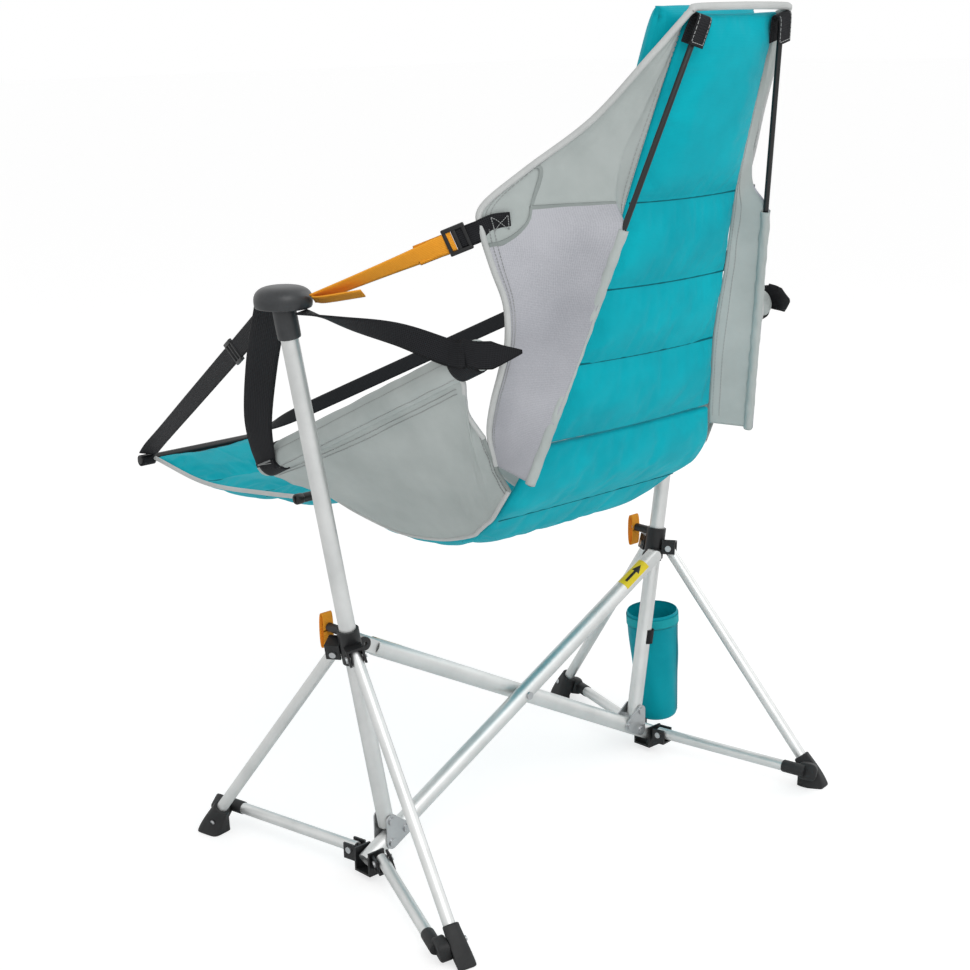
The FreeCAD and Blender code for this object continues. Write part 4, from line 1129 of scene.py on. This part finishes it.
def makeReclineStrap(flip, capY):
    # orange webbing from the cap's side, its tail doubled back at the buckle
    middle = Vector((cap.x, capY, 0.788))
    end = at(239.5, 205, 868)
    flat = Vector((end.x - middle.x, end.y - middle.y, 0)).normalized()
    start = middle + flat * 0.0375
    run = end - start
    along = run.normalized()
    upright = Vector((0.1, 0.1, 1))
    off = along.cross(upright).normalized()
    lock = start + run * 0.86
    path = [start, start + run * 0.3, start + run * 0.6, lock - along * 0.004]
    twist = [Vector((0.75, 0.35, 0.45)), Vector((0.7, 0.35, 0.6)), Vector((0.5, 0.3, 0.8)), upright]
    band("recline", path, twist, flip, webbing["recline"], webbing["slim"], 80)
    tail = [start + run * 0.62 - off * 0.0035, start + run * 0.7 - off * 0.003,
            lock - along * 0.016 - off * 0.0026]
    band("recline", tail, [upright] * 3, flip, webbing["tail"], webbing["slim"], 30)
    fold = [middle + flat * 0.038 + off * 0.0032, middle + flat * 0.052 + off * 0.003,
            middle + flat * 0.08 + off * 0.0026 + along * 0.02]
    band("recline", fold, twist[:1] * 3, flip, webbing["fold"], webbing["slim"], 24)
    ladderLock(lock, along, upright, flip)

    # its black tab, sewn on the wing
    out = Vector((0.75, 0.66, 0)) * 0.0022
    patch = [lock - along * 0.003, lock + along * 0.012, end - along * 0.004 + out,
             wingFaces["left"](0.93, 0.395) + out, wingFaces["left"](0.84, 0.39) + out]
    face = band("tabs", patch, [upright] * 5, flip, webbing["recline"], webbing["tabThick"], 40)
    a, b, c, d = (0.14, 0.74), (0.86, 0.74), (0.86, 0.97), (0.14, 0.97)
    tack(face, [(a, c, 8), (b, d, 8), (a, b, 8), (d, c, 8)], Vector((flip * 0.75, 0.66, 0)) * 0.0014)

    # the rear arm strap's pointed end, sewn below it
    patch = [onArm(0.965, 1) + at(21, 2, 12), at(277, 234, 731), at(264, 254, 732), at(246, 277, 736)]
    band("tabs", patch, [Vector((0.1, -0.35, 1))] * 4, flip, webbing["armRear"], webbing["patchThick"], 40,
         pointed=0.45)


def makeRestStrap(flip, capY):
    # slim webbing with a buckle, looped round the leg rest's bar
    bar = at(115, *bars["rest"])
    top = Vector((cap.x - 0.012, capY - 0.036, strapZ))
    end = bar + at(0, 0, 9.5)
    run = end - top
    along = run.normalized()
    broad = Vector((0.3, -0.45, 0.8))
    lock = top + run * 0.25
    upper = [top, top + run * 0.12, lock - along * 0.004]
    lower = [lock + along * 0.004, lock + run * 0.3, lock + run * 0.62, end - along * 0.002]
    wide, thick = webbing["rest"], webbing["slim"]
    band("rest", upper, [broad] * 3, flip, wide, thick, 40)
    band("rest", lower, [broad, broad, broad, Vector((0.9, -0.1, 0.3))], flip, wide, thick, 120)
    ladderLock(lock, along, broad, flip)
    ring = []
    for i in range(13):
        angle = math.radians(30 + 300 * i / 12)
        ring.append(bar + Vector((0, math.sin(angle), math.cos(angle))) * 0.0086)
    band("rest", ring, [Vector((flip, 0, 0))] * 13, flip, wide, thick, 48)


for flip in (1, -1):
    capY = cap.y * flip
    makeArmStraps(flip, capY)
    makeCuffs(flip)
    makeReclineStrap(flip, capY)
    makeRestStrap(flip, capY)
for name, kind, material, node in (
        ("frontStraps", "front", blackStrap, "front_straps"),
        ("rearStraps", "rear", blackStrap, "rear_straps"),
        ("reclineStraps", "recline", orangeStrap, "recline_straps"),
        ("legRestStraps", "rest", blackStrap, "leg_rest_straps"),
        ("armCuffs", "cuffs", blackStrap, "strap_cuffs"),
        ("ladderLocks", "locks", blackNylon, "strap_buckles"),
        ("wingTabs", "tabs", blackStrap, "wing_tabs")):
    finishPiece(name, sewn[kind], material, "seat", [node])
finishPiece("barTacks", sewn["tacks"], paleThread, "seat", smooth=False)
print("straps and buckles ready")


# feet: a boot in two halves, one on the leg and one on the stretcher, face to face

feet = {
    "rear": {"foot": (356, 259.5, 22.4), "lap": (375.56, 248.98, 17.23), "legPin": (313.8, 33.7, 322.2),
             "hubPin": (290, 42, 33.5), "gap": 6},
    "front": {"foot": (356, -249.5, 22.4), "lap": (329.68, -266.4, 32.27),
              "legPin": (313.8, -8.7, 322.2), "hubPin": (290, -17, 33.5), "gap": 16},
}
boot = {"sole": (20, 17.5), "neck": 11.6, "face": 8.6, "tall": 24, "lugLong": 15, "lugTall": 13.5,
        "socket": 9.1, "socketFrom": 6, "socketTo": 42, "rivet": 3.6}


def turnHalf(bm, side):
    # the right tripod is the left one turned half round the upright axis
    for spot in bm.verts if side == "right" else []:
        spot.co.x *= -1
        spot.co.y *= -1
    bmesh.ops.recalc_face_normals(bm, faces=bm.faces)


def layRings(bm, rings, count=48):
    # a closed form through rounded squares: middle, two directions, two half sizes, squareness
    edges = []
    for number, (middle, u, v, a, b, power) in enumerate(rings):
        capped = number in (0, len(rings) - 1)
        made = bmesh.ops.create_circle(bm, cap_ends=capped, segments=count, radius=1.0)["verts"]
        for spot in made:
            c, s = spot.co.x, spot.co.y
            x = math.copysign(abs(c) ** (2 / power), c) * a * 0.001
            y = math.copysign(abs(s) ** (2 / power), s) * b * 0.001
            spot.co = middle + u * x + v * y
        edges.append(list({edge for spot in made for edge in spot.link_edges}))
    for one, two in zip(edges, edges[1:]):
        bmesh.ops.bridge_loops(bm, edges=one + two)


def makeBoot(name, side, foot, pin, leg):
    heading = Vector((leg.x, leg.y, 0)).normalized()
    flat = Vector((0, 0, 1)).cross(heading)
    neckSide = pin.cross(leg)
    sole = Vector((foot.x, foot.y, 0)) + heading * 0.004
    long, wide = boot["sole"]
    rings = [(sole, heading, flat, long - 1.5, wide - 1.5, 4.5)]
    for i in range(13):
        f = i / 12
        low = sole + Vector((0, 0, 0.0012 + 0.009 * f))
        high = foot - leg * (0.004 + (boot["tall"] * 0.001 - 0.004) * f)
        blend = f * f * (3 - 2 * f)
        u = heading.lerp(neckSide if neckSide.dot(heading) > 0 else -neckSide, blend).normalized()
        v = flat.lerp(pin if pin.dot(flat) > 0 else -pin, blend).normalized()
        a = long * (1 - blend) + boot["neck"] * blend
        b = wide * (1 - blend) + boot["neck"] * blend
        rings.append((low.lerp(high, blend), u, v, a, b, 4.5 - 1.9 * blend))
    middle, u, v, a, b, power = rings[-1]
    rings.append((middle - leg * 0.0012, u, v, a - 1.4, b - 1.4, power))
    bm = bmesh.new()
    layRings(bm, rings)
    for spot in bm.verts:
        over = (spot.co - foot).dot(pin) - boot["face"] * 0.001
        if over > 0:
            spot.co -= pin * over
        spot.co.z = max(spot.co.z, 0.0002)
    rivetAt = BVHTree.FromBMesh(bm).ray_cast(foot - leg * 0.004 - pin * 0.05, pin)[0]
    turnHalf(bm, side)
    finishPiece(name.replace("_", "") + "Boot", bm, footRubber, name + "_leg", [name + "_foot"])
    return rivetAt


def makeLug(name, side, lap, pin, tube, gap):
    # the half on the stretcher is its tube's socket, and hides its spacer and flat tab
    bm = bmesh.new()
    inner = 0.6 - 8 - gap
    steps = [(inner, 1.6), (inner + 1, 0.5), (inner + 2.2, 0), (-3, 0), (-0.4, 0), (1.0, 0.5), (2.0, 1.8)]
    layRings(bm, [(lap + pin * (n * 0.001) - tube * 0.003, tube, pin.cross(tube), boot["lugLong"] - cut,
                   boot["lugTall"] - cut, 3.4) for n, cut in steps])
    roundBar(bm, lap - tube * (boot["socketTo"] * 0.001), lap - tube * (boot["socketFrom"] * 0.001),
             boot["socket"] * 0.001, segments=36, bevel=0.0012)
    turnHalf(bm, side)
    finishPiece(name.replace("_", "") + "Lug", bm, footRubber, name + "_stretcher")


def makeFoot(side, end):
    other = {"rear": "front", "front": "rear"}
    name = side + "_" + (end if side == "left" else other[end])
    foot, lap, legPin, hubPin = (at(*feet[end][key]) for key in ("foot", "lap", "legPin", "hubPin"))
    pin, leg, tube = ((b - a).normalized() for a, b in ((foot, lap), (legPin, foot), (hubPin, lap)))
    rivetAt = makeBoot(name, side, foot, pin, leg)
    makeLug(name, side, lap, pin, tube, feet[end]["gap"])
    bm = bmesh.new()
    r = boot["rivet"]
    layRings(bm, [(rivetAt + pin * (n * 0.001), tube, pin.cross(tube), size, size, 2)
                  for n, size in ((1.5, r), (-0.9, r), (-1.6, r - 0.5), (-1.9, r - 1.6))], count=28)
    turnHalf(bm, side)
    finishPiece(name.replace("_", "") + "Rivet", bm, zincPlate, name + "_leg")


for side in ("left", "right"):
    for end in ("rear", "front"):
        makeFoot(side, end)
print("feet ready")


# bottle bag, pull loops and the strips on the braces

bag = {"top": (-338.3, -47.5, 208), "base": (-350.3, -47.5, 30), "topRadius": 39.6, "baseRadius": 32.6,
       "cloth": 1.2, "fill": 0.2, "rim": 14, "rimThick": 0.9}
bagStrap = {"post": (-283.2, -12.5, 188), "round": 12.7, "loop": 20, "bridge": 18}


def makeBag():
    top, base = at(*bag["top"]), at(*bag["base"])
    along = (top - base).normalized()
    place = Matrix.Translation(base) @ along.to_track_quat("Z", "Y").to_matrix().to_4x4()
    length = (top - base).length
    wide, slim = bag["topRadius"] * 0.001, bag["baseRadius"] * 0.001
    bm = bmesh.new()
    profile = [(0.0, 0.0), (slim * 0.8, 0.0), (slim * 0.96, 0.003), (slim, 0.010)]
    for i in range(1, 15):
        share = i / 14
        profile.append((slim + (wide - slim) * share, 0.010 + (length - 0.022) * share))
    profile += [(wide + 0.0008, length - 0.008), (wide + 0.0008, length - 0.001), (wide - 0.0012, length)]
    spinProfile(bm, profile)
    uvLayer = bm.loops.layers.uv.verify()
    for v in bm.verts:
        angle = math.atan2(v.co.y, v.co.x)
        height = v.co.z / length
        soft = noise.noise(Vector((math.cos(angle) * 1.2, math.sin(angle) * 1.2, height * 3.0)))
        fold = 0.0016 * math.sin(angle * 7 + height * 5) * bump01(height) * (1 - height)
        grow = 1 + (0.0022 * soft + fold) / wide * bump01(height * 0.96)
        v.co.x *= grow
        v.co.y *= grow * (0.985 if height > 0.9 else 1.0)
    for face in bm.faces:
        for loop in face.loops:
            co = loop.vert.co
            loop[uvLayer].uv = (math.atan2(co.y, co.x) * wide, co.z)
    bmesh.ops.transform(bm, matrix=place, verts=bm.verts)
    bmesh.ops.recalc_face_normals(bm, faces=bm.faces)
    piece = finishPiece("bottleBag", bm, bagCloth, "right_post", ["bottle_bag"])
    thicken(piece, bag["cloth"], offset=-1.0, levels=1)
    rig.padded(piece, fill=bag["fill"])

    def onBag(angle, radius, height):
        return place @ Vector((math.cos(angle) * radius, math.sin(angle) * radius, height))

    ring = [onBag(i / 48 * 2 * math.pi, wide + 0.0012, length - 0.012) for i in range(49)]
    bm = bmesh.new()
    layWebbing(bm, ring, [along] * 49, bag["rim"], bag["rimThick"], 96)
    finishPiece("bagRim", bm, rimCloth, "right_post")
    bm = bmesh.new()
    for degrees in (18, 24):
        line = []
        for i in range(21):
            radius = slim + (wide - slim) * i / 20 + 0.0014
            line.append(onBag(math.radians(degrees), radius, 0.012 + (length - 0.03) * i / 20))
        stitchRow(bm, line, 4.0, 0.7)
    finishPiece("bagSeamStitches", bm, darkThread, "right_post", smooth=False)

    # its strap goes round the post
    postAt = at(*bagStrap["post"])
    lean = Vector((-math.sin(postLean), 0, math.cos(postLean)))
    outY = Vector((0, 1, 0))
    flatX = lean.cross(outY).normalized()
    ring = []
    for i in range(37):
        angle = i / 36 * 2 * math.pi
        ring.append(postAt + (flatX * math.cos(angle) + outY * math.sin(angle)) * (bagStrap["round"] * 0.001))
    bm = bmesh.new()
    layWebbing(bm, ring, [lean] * 37, bagStrap["loop"], 1.6, 72)
    toward = Vector((top.x - postAt.x, top.y - postAt.y, 0))
    reach = toward.length - wide
    toward.normalize()
    layWebbing(bm, [postAt + toward * 0.0125, postAt + toward * (reach * 0.5 + 0.006),
                    postAt + toward * reach], [lean] * 3, bagStrap["bridge"], 2.0, 20)
    finishPiece("bagStrap", bm, blackStrap, "right_post", ["bottle_bag_strap"])
    return piece


bottleBag = makeBag()


pullLoop = {"wide": 16.4, "thick": 1.4, "inset": 0.001}


def makePullLoop(side):
    low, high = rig.box(side + "_pull_loop")
    low, high = Vector(low), Vector(high)
    centre = (low + high) / 2
    h, d = ((high - low) / 2 - Vector((0, 1, 1)) * pullLoop["inset"]).zy
    path = []
    for i in range(33):
        angle = i / 32 * 2 * math.pi
        y = math.copysign(abs(math.cos(angle)) ** 0.75, math.cos(angle)) * d
        z = math.copysign(abs(math.sin(angle)) ** 0.9, math.sin(angle)) * h
        path.append(centre + Vector((0, y, z)))
    bm = bmesh.new()
    layWebbing(bm, path, [Vector((1, 0, 0))] * 33, pullLoop["wide"],
               pullLoop["thick"], 80)
    finishPiece(side + "PullLoop", bm, orangeStrap, side + "_lock", [side + "_pull_loop"])


for side in ("left", "right"):
    makePullLoop(side)


def makeStrip(name, start, end, share, turn, body):
    # a plain yellow strip with an arrow, wrapped on the tube
    a, b = at(*start), at(*end)
    along = (b - a).normalized()
    middle = a.lerp(b, share)
    outY = Vector((0, 1, 0))
    over = along.cross(outY)
    if over.z < 0:
        over = -over

    def wrapped(radius, angle, run):
        around = angle + turn
        return middle + along * run + (over * math.cos(around) + outY * math.sin(around)) * radius

    bm = bmesh.new()
    layGrid(bm, lambda u, v: wrapped(0.01212, -0.4 + 1.8 * u, (v - 0.5) * 0.052), 30, 24)
    finishPiece(name, bm, yellowLabel, body)
    bm = bmesh.new()
    layGrid(bm, lambda u, v: wrapped(0.01222, 0.52 + (u - 0.5) * 0.34, -0.019 + v * 0.024), 10, 6)
    layGrid(bm, lambda u, v: wrapped(0.01222, 0.52 + (u - 0.5) * 1.1 * (1 - v), 0.004 + v * 0.014), 10, 8)
    bmesh.ops.remove_doubles(bm, verts=bm.verts, dist=0.00001)
    finishPiece(name + "Arrow", bm, blackNylon, body)


brace = {"low": (290, 12.5, 27.5), "high": (-270.6, 12.5, 320.2), "share": 0.925}
for name, flip, turn, body in (("rightBraceStrip", 1, 0.0, "brace_b"),
                               ("leftBraceStrip", -1, -1.25, "brace_a")):
    ends = [Vector((x * flip, y * flip, z)) for x, y, z in (brace["low"], brace["high"])]
    makeStrip(name, *ends, brace["share"], turn, body)
print("bag, loops and strips ready")


# the hanging seat gathers as the frame folds

hang = (cap.x, cap.y, cap.z)
seatPieces = [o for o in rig.pieces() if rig.body_of(o) == ["seat"] and "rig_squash" not in o]
for piece in seatPieces:
    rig.squash(piece, "frame_fold", axis=(1, 0, 0), anchor=hang, keep=0.3)
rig.squash(bottleBag, "frame_fold", axis=(0, 1, 0), anchor=(-0.34, -0.0125, 0.2), keep=0.5)

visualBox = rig.bounds()
with open("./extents.json", "w") as sizes:
    json.dump({"cad": [list(c) for c in cadBox], "visual": [list(c) for c in visualBox]}, sizes)
print("all pieces ready")
